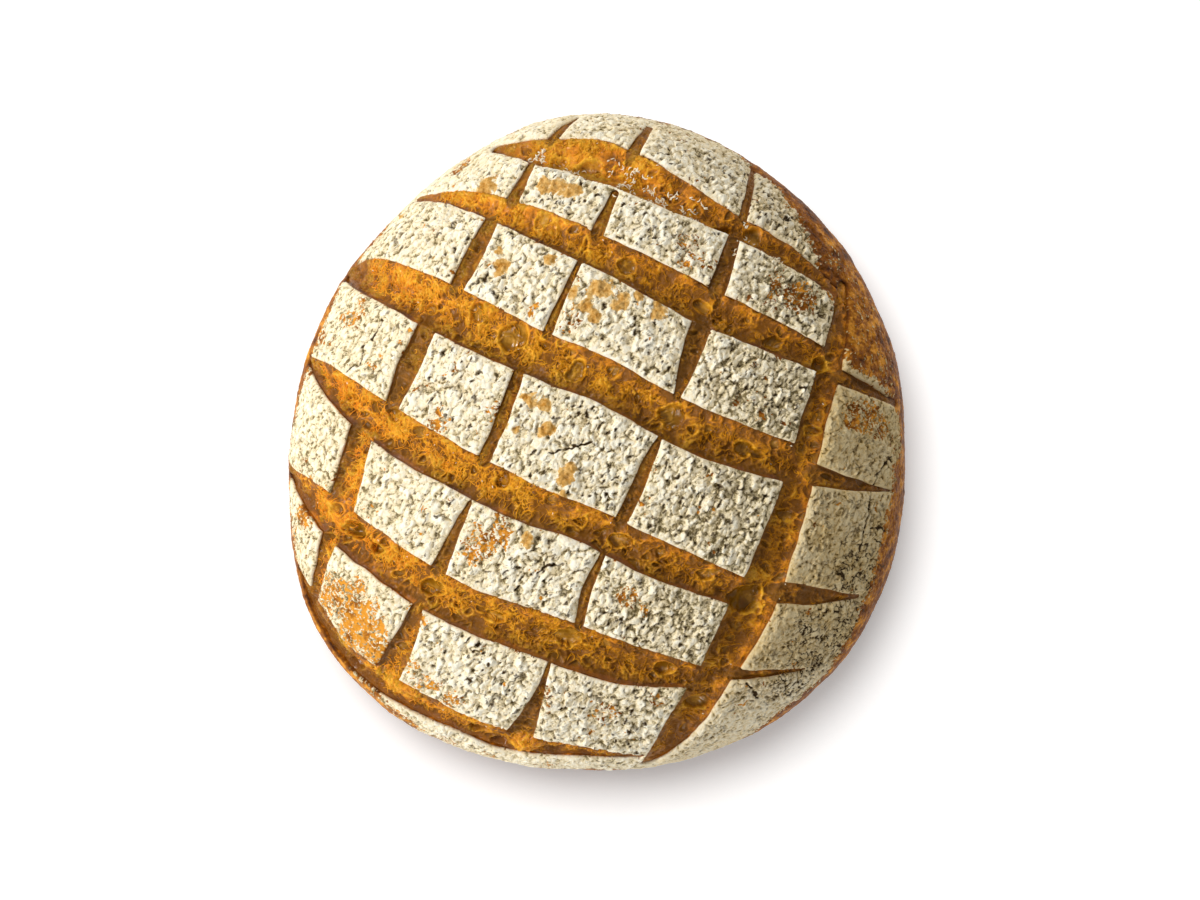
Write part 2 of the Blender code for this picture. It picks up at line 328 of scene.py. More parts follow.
# ---------------------------------------------------------------------------------------
# The risen shape


def outline_radius(angle):
    """Widest radius of the loaf in a direction, in millimetres."""
    radius = MEAN_RADIUS
    for count, height, crest in OUTLINE_WAVES:
        radius = radius + height * np.cos(count * (angle - math.radians(crest)))
    return radius


def outline_middle():
    """Middle of the outline's box, as seen from the crown."""
    angle = np.linspace(0.0, 2.0 * math.pi, OUTLINE_STEPS, endpoint=False)
    radius = outline_radius(angle)
    x, y = radius * np.cos(angle), radius * np.sin(angle)
    return (x.max() + x.min()) / 2.0, (y.max() + y.min()) / 2.0


def meridian():
    """The loaf's side profile from crown to heel: skin length, share of the widest radius, and height."""
    turn = np.linspace(0.0, math.pi, PROFILE_STEPS + 1)
    across, along = np.abs(np.sin(turn)), np.abs(np.cos(turn))
    above = turn <= math.pi / 2.0
    dome_share = across**SHOULDER_SQUARENESS
    heel_share = BASE_SHARE + (1.0 - BASE_SHARE) * across**HEEL_SQUARENESS
    share = np.where(above, dome_share, heel_share)
    dome_height = WIDEST_LEVEL + (LOAF_HEIGHT - WIDEST_LEVEL) * along**CROWN_SQUARENESS
    heel_height = WIDEST_LEVEL * (1.0 - along**HEEL_SQUARENESS)
    height = np.where(above, dome_height, heel_height)
    steps = np.hypot(np.diff(share * MEAN_RADIUS), np.diff(height))
    return np.concatenate(([0.0], np.cumsum(steps))), share, height


SKIN_LENGTH, SKIN_SHARE, SKIN_HEIGHT = meridian()
MIDDLE_X, MIDDLE_Y = outline_middle()
HEEL_LENGTH = float(SKIN_LENGTH[-1])


def on_skin(x, y):
    """Points in millimetres for places measured along the skin from the crown."""
    angle, length = np.arctan2(y, x), np.hypot(x, y)
    radius = outline_radius(angle) * np.interp(length, SKIN_LENGTH, SKIN_SHARE)
    across = radius * np.cos(angle) - MIDDLE_X
    away = radius * np.sin(angle) - MIDDLE_Y
    height = np.interp(length, SKIN_LENGTH, SKIN_HEIGHT)
    return np.stack((across, away, height), axis=-1)


def skin_normals(x, y):
    """Outward directions of the skin at those places."""
    along_x = on_skin(x + NORMAL_STEP, y) - on_skin(x - NORMAL_STEP, y)
    along_y = on_skin(x, y + NORMAL_STEP) - on_skin(x, y - NORMAL_STEP)
    normal = np.cross(along_x, along_y)
    return normal / np.linalg.norm(normal, axis=-1, keepdims=True)


def wrapped(x, y, height):
    """Flat places and their heights over the skin, in millimetres, as points on the loaf in metres."""
    return (on_skin(x, y) + skin_normals(x, y) * height[:, None]) * MM


# ---------------------------------------------------------------------------------------
# Patterns for moving vertices


def limited(value):
    """The value, kept between 0 and 1."""
    return np.clip(value, 0.0, 1.0)


def soft_step(low, high, value):
    """From 0 at low to 1 at high, which may be the smaller of the two."""
    share = limited((value - low) / (high - low))
    return share * share * (3.0 - 2.0 * share)


def soft_drop(low, high, value):
    """From 1 at low to 0 at high."""
    return 1.0 - soft_step(low, high, value)


def bell(offset, width):
    """From 1 at no offset, falling to nothing on both sides."""
    return np.exp(-((offset / width) ** 2))


def fading(distance, reach):
    """From 1 where a distance begins, fading over about one reach."""
    return np.exp(-np.maximum(distance, 0.0) / reach)


def spread(x, y):
    """Places on the flat sheet as points for a noise."""
    return np.stack((x, y, np.zeros(len(x))), axis=-1)


def scrambled(cell, seed):
    """A repeatable 32-bit scramble of whole-number places."""
    bits = cell[0] * np.uint32(0x8DA6B343) ^ cell[1] * np.uint32(0xD8163841) ^ cell[2] * np.uint32(0xCB1AB31F)
    bits = bits ^ np.uint32(seed * 2654435769 % 4294967296)
    bits = (bits ^ bits >> np.uint32(15)) * np.uint32(0x2C1B3C6D)
    bits = (bits ^ bits >> np.uint32(12)) * np.uint32(0x297A2D39)
    return bits ^ bits >> np.uint32(15)


def three_parts(bits):
    """Three whole numbers from 0 to 1023 out of each 32-bit number."""
    return [(bits >> np.uint32(shift) & np.uint32(1023)).astype(np.float32) for shift in (0, 10, 20)]


def grain_noise(points, grain, seed):
    """Smooth noise of about -1 to 1 at points in millimetres, with lumps about one grain wide."""
    scaled = (points / grain).astype(np.float32)
    base = np.floor(scaled)
    cell = base.astype(np.int64).astype(np.uint32).T
    part = (scaled - base).T
    fade = part * part * part * (part * (part * 6.0 - 15.0) + 10.0)
    total = np.zeros(len(scaled), np.float32)
    for corner in product((0, 1), repeat=3):
        bits = three_parts(scrambled([axis + np.uint32(step) for axis, step in zip(cell, corner)], seed))
        off = [axis - step for axis, step in zip(part, corner)]
        slope = bits[0] * off[0]
        slope += bits[1] * off[1]
        slope += bits[2] * off[2]
        slope = slope / 511.5 - off[0] - off[1] - off[2]
        weight = [share if step else 1.0 - share for share, step in zip(fade, corner)]
        total += slope * (weight[0] * weight[1]) * weight[2]
    return total * 1.6


def layered_noise(points, grain, layers, seed):
    """Noise with finer and weaker layers on top."""
    total = grain_noise(points, grain, seed)
    for layer in range(1, layers):
        total = total + grain_noise(points, grain / 2.1**layer, seed + 31 * layer) * 0.5**layer
    return total


def drift(points, grain, seeds):
    """A noise for each seed, side by side."""
    return np.stack([grain_noise(points, grain, seed) for seed in seeds], axis=-1)


def flake_pattern(points, grain, seed):
    """Crumpled flakes about one grain wide: distance from a flake's edge, its tip and its chance."""
    scaled = (points / grain).astype(np.float32)
    base = np.floor(scaled)
    near = np.full(len(scaled), 9.0, np.float32)
    second, tip, chance = near.copy(), np.zeros_like(near), np.zeros_like(near)
    for step in product((-1, 0, 1), repeat=3):
        corner = base + np.array(step, np.float32)
        bits = scrambled(corner.astype(np.int64).astype(np.uint32).T, seed)
        off = scaled - corner - np.stack(three_parts(bits), axis=-1) / np.float32(1023.0)
        reach = np.einsum("ij,ij->i", off, off)
        closer = reach < near
        second = np.where(closer, near, np.minimum(second, reach))
        more = bits * np.uint32(0x9E3779B1)
        lean = np.stack(three_parts(more), axis=-1) / np.float32(1023.0) - np.float32(0.5)
        tip = np.where(closer, np.einsum("ij,ij->i", off, lean), tip)
        luck = (more * np.uint32(0x85EBCA6B) >> np.uint32(16)) / np.float32(65535.0)
        chance = np.where(closer, luck, chance)
        near = np.where(closer, reach, near)
    return np.sqrt(second) - np.sqrt(near), tip, chance


# ---------------------------------------------------------------------------------------
# The cuts


def between(before, start, end, after, share):
    """A point of the Catmull-Rom curve from start to end."""
    slope = end - before
    bend = 2.0 * before - 5.0 * start + 4.0 * end - after
    twist = 3.0 * start - before - 3.0 * end + after
    return start + 0.5 * (slope * share + bend * share**2 + twist * share**3)


def through_stations(stations):
    """Evenly spaced (x, y, width) along a smooth curve through a cut's stations."""
    given = np.array(stations, float)
    points = np.vstack((2.0 * given[0] - given[1], given, 2.0 * given[-1] - given[-2]))
    rows = []
    for before, start, end, after in zip(points, points[1:], points[2:], points[3:]):
        count = max(1, round(math.dist(start[:2], end[:2]) / CUT_STATION_SPACING))
        rows += [between(before, start, end, after, step / count) for step in range(count)]
    rows = np.array([*rows, given[-1]])
    rows[:, 2] = np.maximum(rows[:, 2], CUT_LEAST_WIDTH)
    return rows


CUTS = [through_stations(stations) for stations in (*LONG_SCORES, CROSS_SCORE, *SHORT_SLITS)]


def turned(x, y, lean):
    """Places turned clockwise by an angle."""
    return x * math.cos(lean) + y * math.sin(lean), y * math.cos(lean) - x * math.sin(lean)


def to_row(x, y):
    """Places turned so that the long scores run along u."""
    return turned(x, y, SCORE_LEAN)


def from_row(u, v):
    """Places on the sheet, from places along and across the rows."""
    return turned(u, v, -SCORE_LEAN)


def to_line(x, y, line):
    """Distance from each place to a line, where on it the nearest point is, and the side: 1 for left."""
    start, step = line[:-1], np.diff(line, axis=0)
    off_x = x[:, None] - start[:, 0]
    off_y = y[:, None] - start[:, 1]
    share = limited((off_x * step[:, 0] + off_y * step[:, 1]) / (step[:, 0] ** 2 + step[:, 1] ** 2))
    off_x = off_x - share * step[:, 0]
    off_y = off_y - share * step[:, 1]
    reach = off_x * off_x + off_y * off_y
    best = reach.argmin(axis=1)
    row = np.arange(len(x))
    left = step[best, 0] * off_y[row, best] - step[best, 1] * off_x[row, best] > 0.0
    return np.sqrt(reach[row, best]), best + share[row, best], np.where(left, 1.0, -1.0)


def near_cuts(x, y, depth_per_width=SCORE_DEPTH, step=CRUST_THICKNESS):
    """How far each place is outside the nearest cut, its floor's depth, how far across it, and its number.

    Across is 0 on a cut's line, 1 at its left edge as one follows it and -1 at its right edge.
    """
    gap = np.full(len(x), CUT_REACH)
    depth = np.zeros(len(x))
    across = np.full(len(x), 2.0)
    which = np.full(len(x), -1)
    for number, line in enumerate(CUTS):
        low, high = line[:, :2].min(axis=0) - CUT_REACH, line[:, :2].max(axis=0) + CUT_REACH
        close = np.flatnonzero((x > low[0]) & (x < high[0]) & (y > low[1]) & (y < high[1]))
        if not len(close):
            continue
        reach, along, side = to_line(x[close], y[close], line)
        half = np.interp(along, np.arange(len(line)), line[:, 2]) / 2.0
        share = reach / half
        lip = np.minimum(step, 0.5 + half * 0.45)
        lower = limited((1.0 - share * side) / 2.0)
        if number < CROSS:
            # A long score slants: it falls gently from its far side and ends against its near side.
            lip = lip * (0.55 + 0.55 * lower)
            lower = lower**1.7
        deepest = 1.2 + depth_per_width * 2.0 * half
        bowl = limited(4.0 * lower * (1.0 - lower)) ** 0.75
        floor = (lip + (deepest - lip) * bowl) * soft_step(-4.0, 0.0, half - reach + 4.0)
        depth[close] = np.maximum(depth[close], np.where(reach - half < 4.0, floor, 0.0))
        gap[close] = np.minimum(gap[close], reach - half)
        nearer = share < np.abs(across[close])
        across[close] = np.where(nearer, share * side, across[close])
        which[close] = np.where(nearer, number, which[close])
    ragged = spread(x, y)
    nibble = grain_noise(ragged, 9.0, 3) * 0.45 + grain_noise(ragged, 2.6, 4) * 0.07
    return gap + nibble, depth, across, which


def gap_at(x, y):
    """How far each place is outside the nearest cut."""
    return near_cuts(x, y)[0]


def score_levels(u):
    """Where each long score lies across the rows, at places along them."""
    levels = []
    for line in CUTS[:CROSS]:
        along, level = to_row(line[:, 0], line[:, 1])
        levels.append(np.interp(u, along, level))
    return levels


def cross_place(v):
    """How far along the rows the cross score lies."""
    along, level = to_row(CUTS[CROSS][:, 0], CUTS[CROSS][:, 1])
    order = np.argsort(level)
    return np.interp(v, level[order], along[order])


def plate_row(x, y):
    """Which strip of plates a place is in: 0 to 6 from the far side, and 7 for the right flank."""
    u, v = to_row(x, y)
    row = sum((v < level).astype(int) for level in score_levels(u))
    return np.where(u > cross_place(v), CROSS + 1, row)


def crumb_row(x, y):
    """Which score's crumb a place belongs to: 0 to 5 for the long scores, and 6 for the cross score."""
    u, v = to_row(x, y)
    levels = score_levels(u)
    row = sum((v < (first + second) / 2.0).astype(int) for first, second in zip(levels, levels[1:]))
    return np.where(u > cross_place(v) - CROSS_CRUMB_REACH, CROSS, row)


# ---------------------------------------------------------------------------------------
# Relief


def flour_left(x, y, place, gap):
    """How much of the flour coat is gone, from 0 to about 1, and where smooth bare blisters stand."""
    length, angle = np.hypot(x, y), np.degrees(np.arctan2(y, x))
    patchy = layered_noise(place, 13.0, 3, 41)
    reach = np.interp(angle, *zip(*FLOUR_REACH))
    gone = soft_step(-5.0, 2.5, length - reach + patchy * 3.5) * 1.1
    # A dusting stays on the brown crust right of the cross score.
    dusted = soft_step(4.0, 14.0, angle) * soft_drop(42.0, 56.0, angle) * soft_drop(125.0, 139.0, length)
    gone = gone * (1.0 - (0.16 + 0.18 * patchy) * dusted)
    for at_x, at_y, radius, amount in THIN_FLOUR:
        far = np.hypot(x - at_x, y - at_y) / radius
        gone = np.maximum(gone, amount * soft_drop(0.35, 1.3, far + patchy * 0.35))
    cluster = soft_step(0.05, 0.65, layered_noise(place, 9.0, 2, 43))
    fleck = soft_step(-0.2, 0.6, grain_noise(place, 2.6, 44))
    gone = np.maximum(gone, cluster * fleck * 0.46)
    gone = np.maximum(gone, 0.30 * fading(gap, 0.8) * soft_step(0.0, 0.5, patchy))
    blister = np.zeros(len(x))
    wander = layered_noise(place, 4.2, 3, 42)
    for at_x, at_y, radius in BARE_BLISTERS:
        far = np.hypot(x - at_x, y - at_y) / radius
        blister = np.maximum(blister, soft_drop(0.15, 1.25, far + wander * 0.50))
    return gone, blister


def dry_cracks(x, y, place, bend):
    """Fine cracks of the dry flour: broken crackle low on the right, and drawn hairlines."""
    crack = np.zeros(len(x))
    broken = soft_step(-0.30, 0.15, layered_noise(place, 4.5, 2, 72))
    edge, _, _ = flake_pattern(place + bend * 0.9, 2.2, 71)
    for at_x, at_y, radius in CRACKLED_PLACES:
        zone = soft_drop(0.55, 1.1, np.hypot(x - at_x, y - at_y) / radius)
        crack = np.maximum(crack, soft_drop(0.02, 0.12, edge) * zone * (0.15 + 0.7 * broken))
    shaky = drift(place, 1.7, (73, 74)) * 0.75
    shaky_x, shaky_y = x + bend[:, 0] + shaky[:, 0], y + bend[:, 1] + shaky[:, 1]
    for line in HAIRLINE_CRACKS:
        reach, _, _ = to_line(shaky_x, shaky_y, np.array(line, float))
        crack = np.maximum(crack, soft_drop(0.12, 0.62, reach) * (0.5 + 0.5 * broken))
    return crack


def crust_relief(x, y, gap, sizes):
    """Height of the baked skin over the plain loaf, with what its finish needs to know."""
    place = on_skin(x, y)
    away, up = place[:, 1], place[:, 2]
    lump = sizes.flour_lump / MM
    length, angle = np.hypot(x, y), np.degrees(np.arctan2(y, x))
    bend = drift(place, 5.5, (21, 22, 23))
    jitter = drift(place, 1.9, (24, 25, 26))
    broad = layered_noise(place, 34.0, 2, 11) * 0.55 + layered_noise(place, 11.0, 2, 12) * 0.30
    settled = soft_step(0.0, 1.6, gap)
    # The coat is crumpled in the middle, and smoother towards the left rim, the right flank and the side.
    along, level = to_row(x, y)
    flank = soft_step(-2.0, 3.0, along - cross_place(level))
    far_side = soft_step(98.0, 124.0, y)
    rough = 0.66 - 0.30 * soft_step(-45.0, -95.0, x) - 0.36 * flank - 0.22 * far_side
    rough = rough * (1.0 - 0.5 * soft_step(112.0, 136.0, length)) + 0.16 * layered_noise(place, 22.0, 2, 35)
    rough = np.clip(rough, 0.08, 0.9)

    # Flour comes away a flake at a time.
    gone, blister = flour_left(x, y, place, gap)
    streaky = np.stack((place[:, 0] + away * 0.3, away * 0.62, up), axis=-1)
    chip_edge, _, chip_chance = flake_pattern(streaky + bend * 0.8 + jitter * 0.4, lump * 0.47, 61)
    curled = place + bend * 2.2 + jitter * 0.9
    ridge = np.abs(grain_noise(curled, 1.9, 38))
    stays = chip_chance * 0.62 + 0.14 * (0.5 + 0.5 * grain_noise(place, 0.8, 62))
    stays = stays + 0.30 * soft_drop(0.04, 0.34, ridge)
    flour = soft_step(-0.05, 0.05, stays + 0.06 - gone)
    flour = flour * (1.0 - soft_step(0.15, 0.5, gone) * soft_drop(0.02, 0.16, chip_edge))
    flour = flour * soft_drop(0.12, 0.42, blister + (chip_chance - 0.5) * 0.34)

    # Crumpled flakes, longer one way, tip this way and that, with deep creases here and there.
    stroke = (place[:, 0] * 0.85 - away * 0.53, (place[:, 0] * 0.53 + away * 0.85) * 0.58, up)
    stroke = np.stack(stroke, axis=-1)
    big_edge, big_tip, big_chance = flake_pattern(stroke + bend + jitter * 0.8, lump * 1.15, 31)
    small_edge, small_tip, small_chance = flake_pattern(stroke + bend * 0.7 + jitter * 0.4, lump * 0.5, 32)
    crumple = big_tip * 4.2 + (big_chance - 0.5) * 0.50 + small_tip * 0.9 + (small_chance - 0.5) * 0.16
    wrinkled = np.stack((place[:, 0] + bend[:, 0] * 1.2, away * 0.24 + bend[:, 1] * 0.3, up * 0.5), axis=-1)
    wrinkle = 0.30 - np.abs(grain_noise(wrinkled, 1.0, 36)) * 0.55 + grain_noise(wrinkled, 2.3, 37) * 0.25
    # Thin curled ridges run over the flakes.
    curls = 0.36 - ridge * 1.25
    crease = soft_drop(0.03, 0.22, np.abs(grain_noise(curled[:, [1, 2, 0]], 2.6, 39)))
    plaster = crumple * rough * 0.95 + curls * (0.26 - 0.06 * rough + 0.22 * flank)
    plaster = plaster + wrinkle * (0.62 - 0.45 * rough)
    valley = soft_drop(0.0, 0.26, big_edge) * 0.8 + soft_drop(0.0, 0.34, small_edge) * 0.25
    plaster = plaster * (0.30 + 0.70 * settled) - (valley - 0.35) * 0.34 * rough * settled

    # Pits and creases show the crust, and their darkness is partly painted shade.
    gate = soft_step(0.0, 0.35, layered_noise(place, 3.0, 2, 63))
    small_gate = soft_step(0.25, 0.55, layered_noise(place, 2.3, 2, 64))
    dash = soft_step(0.26, 0.52, grain_noise(stroke + jitter * 0.5, 1.25, 65))
    dash = dash * soft_drop(0.14, 0.50, big_edge)
    pit = soft_drop(0.02, 0.12, big_edge) * gate * 0.75
    pit = np.maximum(pit, soft_drop(0.02, 0.15, small_edge) * small_gate * 0.6)
    pit = np.maximum(pit, dash) * (0.2 + 0.8 * rough) * settled
    pit = np.maximum(pit, crease * (0.12 + 0.42 * flank) * (0.4 + 0.6 * gate) * settled)
    crack = dry_cracks(x, y, place, bend)

    bark = layered_noise(place, 2.2, 3, 51) * 0.34 * (1.0 - flour)
    calm = 1.0 - 0.5 * soft_step(124.0, 140.0, length)
    coat = flour * (sizes.flour_thickness / MM)
    height = broad + (plaster * (0.45 + 0.55 * flour) + bark) * calm + coat - 0.75
    height = height - pit * 0.30 * flour - crack * 0.5
    # A blister is a low dome in a moat.
    dome = soft_step(0.06, 0.9, blister)
    height = height * (1.0 - 0.6 * dome) + dome * (0.16 + bark * 2.8 + curls * 0.25)
    height = height - bell(blister - 0.20, 0.12) * 0.06
    # The plate's edge rounds off, and curls up a little behind it.
    height = height - 0.55 * fading(gap, 0.9) + 0.30 * bell(gap - 3.2, 2.2)

    brown = 0.40 + layered_noise(place, 5.0, 3, 81) * 0.36 + (chip_chance - 0.5) * 0.22
    brown = brown + 0.20 * soft_step(-30.0, 50.0, x) * (1.0 - 0.6 * flank)
    brown = brown + soft_step(112.0, 150.0, length) * 0.20 + soft_step(150.0, 185.0, length) * 0.22
    # Paler at the lower left, and dark on the broken edge.
    brown = brown - 0.15 * np.exp(-((x + 84.0) ** 2 + (y + 66.0) ** 2) / 38.0**2) - (0.5 - ridge) * 0.22
    brown = brown + 0.35 * fading(gap, 0.5)
    # Partly painted shade and partly the flour's own warmer tone: darker and warmer on the right flank and
    # low on the right side, away from the light, and a little on the far side.
    east = flank * (0.8 - 0.4 * soft_step(-76.0, -100.0, y))
    low = soft_step(84.0, 128.0, length) * limited(0.56 * np.cos(np.radians(angle - 4.0)) - 0.08)
    tanned = np.maximum(east, low) + 0.16 * far_side + layered_noise(place, 13.0, 2, 82) * 0.12
    # Painted highlight and shade: the flour's tone is paler on raised flakes, curls and wrinkles and darker
    # in the valleys between them, more so on the flank; it is also darker where flour is gone and on
    # blisters.
    thick = 0.46 + crumple * 0.58 * rough + curls * (0.36 + 0.85 * flank) + wrinkle * (0.5 + 0.5 * flank)
    thick = thick - gone * 0.5 - (valley - 0.35) * 0.62 * settled - 0.15 * soft_step(0.0, 0.3, blister)
    # Painted shade on the right, away from the light, and a little darker at the left rim.
    thin_right = 0.32 * soft_step(5.0, 60.0, x - y * 0.4) * soft_step(-104.0, -78.0, y)
    thick = thick - (thin_right + 0.20 * soft_step(-50.0, -95.0, x)) * (1.0 - flank)
    pit = pit * flour * 0.95 + crack
    looks = {"flour": flour, "brown": brown, "pit": pit, "blister": dome, "thick": thick, "tanned": tanned}
    return height, {name: limited(value) for name, value in looks.items()}


def crumb_relief(x, y, sizes):
    """Height of the torn crumb over the plain loaf, with what its finish needs to know."""
    gap, depth, across, which = near_cuts(x, y, sizes.groove_depth, sizes.crust_thickness / MM)
    flat = spread(x, y)
    length = np.hypot(x, y)
    inside = -gap
    in_long_score, in_cross_score = which < CROSS, which == CROSS
    on_flank = which >= FIRST_FLANK_SLIT
    slow = drift(flat, 7.0, (101, 102, 103))
    quick = drift(flat, 2.4, (104, 105, 106))
    swirled = flat + slow * 3.2 + quick * 0.8
    folds = 1.0 - np.abs(grain_noise(swirled, 4.6, 111)) * 1.6
    strands = limited(1.0 - np.abs(grain_noise(swirled, 2.1, 112)) * 1.8) ** 2
    threads = limited(1.0 - np.abs(grain_noise(swirled + 40.0, 1.15, 113)) * 1.9) ** 2
    lumpy = layered_noise(flat, 9.0, 2, 114)

    # The near wall of a long score is a smooth brown lip, broadest towards the rim; its dark colour is partly
    # the crust's own and partly painted shade on the side away from the light.
    lip_width = np.interp(length, (40.0, 95.0, 112.0, 130.0), (0.5, 0.9, 1.4, 2.2))
    lip = soft_drop(-0.7, 0.7, inside + slow[:, 0] * 1.6 + quick[:, 1] * 0.6 - lip_width)
    lip = lip * (in_long_score & (across < 0.0))
    swell = np.zeros(len(x))
    for at_x, at_y, radius, rise in CRUMB_SWELLS:
        near = np.exp(-(((x - at_x) ** 2 + (y - at_y) ** 2) / radius**2)) * (1.0 + quick[:, 2] * 0.2)
        swell = np.maximum(swell, near * rise)
    swollen = soft_step(0.2, 1.0, swell)
    lip = lip * (1.0 - swollen)

    # It is stringy in some places and a smooth film in others.
    ripe = soft_step(-70.0, 70.0, x - y * 0.2)
    stringy = soft_step(-0.45, 0.35, layered_noise(flat, 8.0, 2, 116)) * (1.0 - 0.7 * ripe)
    shown = 0.22 + 0.78 * stringy
    relief = folds * 0.56 + (strands * 0.80 + threads * 0.50) * shown + lumpy * 0.8
    relief = relief * (1.0 - 0.45 * lip) + lip * 0.3
    hollow, ring, cave = np.zeros((3, len(x)))
    for at_x, at_y, radius, sink in OPEN_BUBBLES:
        off_x, off_y = (x - at_x) * 0.9 + slow[:, 1] * 2.0, (y - at_y) * 1.3 + slow[:, 2] * 2.0
        far = np.hypot(off_x, off_y) / radius + quick[:, 0] * 0.13
        rim = bell((far - 1.0) * radius, 0.45)
        inner = soft_drop(0.72, 1.0, far)
        relief = relief * (1.0 - 0.85 * inner) - sink * limited(1.0 - far**2) ** 0.6 * 1.05 + rim * 0.30
        hollow = np.maximum(hollow, inner * min(1.0, 0.45 + sink / 3.0))
        ring = np.maximum(ring, rim)
        # The deepest bubbles are marked for painted shade in their hollows.
        cave = np.maximum(cave, inner * soft_step(1.8, 3.2, sink))
    # Small bubbles of one to two millimetres between the big ones.
    oval = np.stack((x * 0.8 + slow[:, 1], y + slow[:, 2], np.zeros(len(x))), axis=-1)
    edge, _, chance = flake_pattern(oval, 4.6, 121)
    small = soft_step(0.24, 0.50, edge) * (chance > 0.50) * (1.0 - lip)
    film = bell(edge - 0.22, 0.08) * (chance > 0.50) * (1.0 - lip)
    hole = soft_step(0.55, 0.75, edge) * (chance < 0.10)
    relief = relief * (1.0 - 0.5 * small) - small * 0.60 + film * 0.30 - hole

    # Brighter on raised folds, strands, bubble rims and films and darker in small bubbles: partly the
    # strands' own paler colour and partly painted highlight and shade. Brighter towards the far rim on the
    # left, darker towards the right.
    raised = -0.08 - 0.05 * soft_step(-75.0, 15.0, x - y * 0.2)
    raised = raised + 0.28 * soft_step(55.0, 100.0, y) * soft_drop(10.0, 55.0, x) + folds * 0.30
    raised = raised + (strands * 0.58 + threads * 0.44) * shown + 0.09 * in_cross_score + 0.22 * swollen
    raised = raised + lumpy * 0.20 + ring * 0.40 + film * (0.36 - 0.18 * ripe) - small * 0.2
    # Orange on far edges, the cross score's right wall, and near the left rim: partly caramel, and partly
    # painted light on the walls and side that face the light.
    caught = bell(np.maximum(inside, 0.0), 3.8) * (across > 0.0)
    rim_side = soft_step(-0.45, 0.35, (y * 0.5 - x) / np.maximum(length, 1.0))
    caught = np.maximum(caught, soft_step(62.0, 100.0, length) * rim_side * 0.85)
    caught = np.maximum(caught, soft_step(84.0, 108.0, y) * 0.75 * soft_drop(10.0, 55.0, x))
    caught = np.maximum(caught, swollen)
    glow = caught * 0.95 + layered_noise(flat, 8.0, 2, 115) * (0.35 - 0.25 * ripe)
    # Painted shade: darker towards the wall of each cut on the side away from the light, in the deepest
    # bubbles, and a little towards the right.
    near_side = np.where(on_flank, 1.0 + across, 1.0 - across) / 2.0
    shade = soft_step(0.42 + 0.12 * soft_step(-40.0, -70.0, y), 0.97, near_side)
    shade = shade * np.where(on_flank, 0.55, 1.0)
    shade = np.maximum(np.maximum(shade, cave), 0.08 * ripe) * (1.0 - swollen)
    # Painted shade in the narrow slits, lighter in those at the lower left that face the light, and a little
    # in the cross score.
    slit = 1.0 - 0.62 * soft_step(-45.0, -85.0, x) * soft_drop(-5.0, 20.0, y)
    shut = np.select([in_long_score, in_cross_score, on_flank], [0.0, 0.12, 0.75], slit) * (1.0 - swollen)
    # Browner near the rim, and darker along each cut's edges, partly caramel and partly painted shade in the
    # crevice under the plates.
    baked = soft_step(104.0, 134.0, length + slow[:, 2] * 5.0) * 0.9 * (1.0 - swollen)
    # It stays under the plates' edges, so that they show as clean lines.
    under = soft_step(-1.8, 0.0, gap)
    relief = (relief + swell) * (1.0 - 0.75 * under) - 0.5 * under - soft_step(0.0, 0.8, gap)
    looks = {
        "raised": raised * (1.0 - 0.5 * lip),
        "hollow": hollow + small * 0.72 + hole * 0.9,
        "lip": lip,
        "glow": glow,
        "baked": np.maximum(baked, fading(inside, 0.55) * 0.8),
        "shut": shut,
        "stringy": 0.25 + 0.75 * stringy,
        "shade": shade,
    }
    return relief - depth, {name: limited(value) for name, value in looks.items()}


# ---------------------------------------------------------------------------------------
# Modelling


def flat_sheet(cell, keep):
    """A flat grid in skin millimetres with just the wanted faces. Sheets of one cell size share a lattice."""
    ring = np.arange(-196.0, 197.0, 2.0)
    coarse = np.array([grid.ravel() for grid in np.meshgrid(ring, ring)])
    wanted = coarse[:, keep(*from_row(*coarse))]
    low = np.floor((wanted.min(axis=1) - 3.0) / cell)
    high = np.ceil((wanted.max(axis=1) + 3.0) / cell)
    columns, rows = (high - low).astype(int)
    shape = bmesh.new()
    bmesh.ops.create_grid(shape, x_segments=int(columns), y_segments=int(rows), size=1.0)
    grid = np.array([vert.co[:2] for vert in shape.verts])
    step = np.round((grid + 1.0) / 2.0 * (columns, rows))
    place = np.stack(from_row(*((step + low) * cell).T), axis=-1)
    for vert, (x, y) in zip(shape.verts, place.tolist()):
        vert.co = (x, y, 0.0)
    corners = np.array([[vert.index for vert in face.verts] for face in shape.faces])
    kept = keep(*place[corners].mean(axis=1).T)
    unwanted = [face for face, stays in zip(shape.faces, kept) if not stays]
    bmesh.ops.delete(shape, geom=unwanted, context="FACES")
    return shape


def free_pinches(shape):
    """Removes faces that meet the rest at only a corner, so that each rim is a plain loop."""
    for _ in range(12):
        pinched = [vert for vert in shape.verts if sum(edge.is_boundary for edge in vert.link_edges) > 2]
        if not pinched:
            return
        doomed = {min(vert.link_faces, key=lambda face: face.index) for vert in pinched}
        bmesh.ops.delete(shape, geom=list(doomed), context="FACES")
    raise RuntimeError("a sheet still has pinched corners")


def row_sheets(names, row_of, least, most, cell):
    """Yields each row's name and flat sheet, which runs between two distances outside the cuts."""
    for row, name in enumerate(names):

        def keep(x, y):
            inside = (np.hypot(x, y) < PLATE_END) & (row_of(x, y) == row)
            chosen = np.flatnonzero(inside)
            gap = gap_at(x[chosen], y[chosen])
            inside[chosen] = (gap > least) & (gap < most)
            return inside

        shape = flat_sheet(cell, keep)
        free_pinches(shape)
        yield name, shape


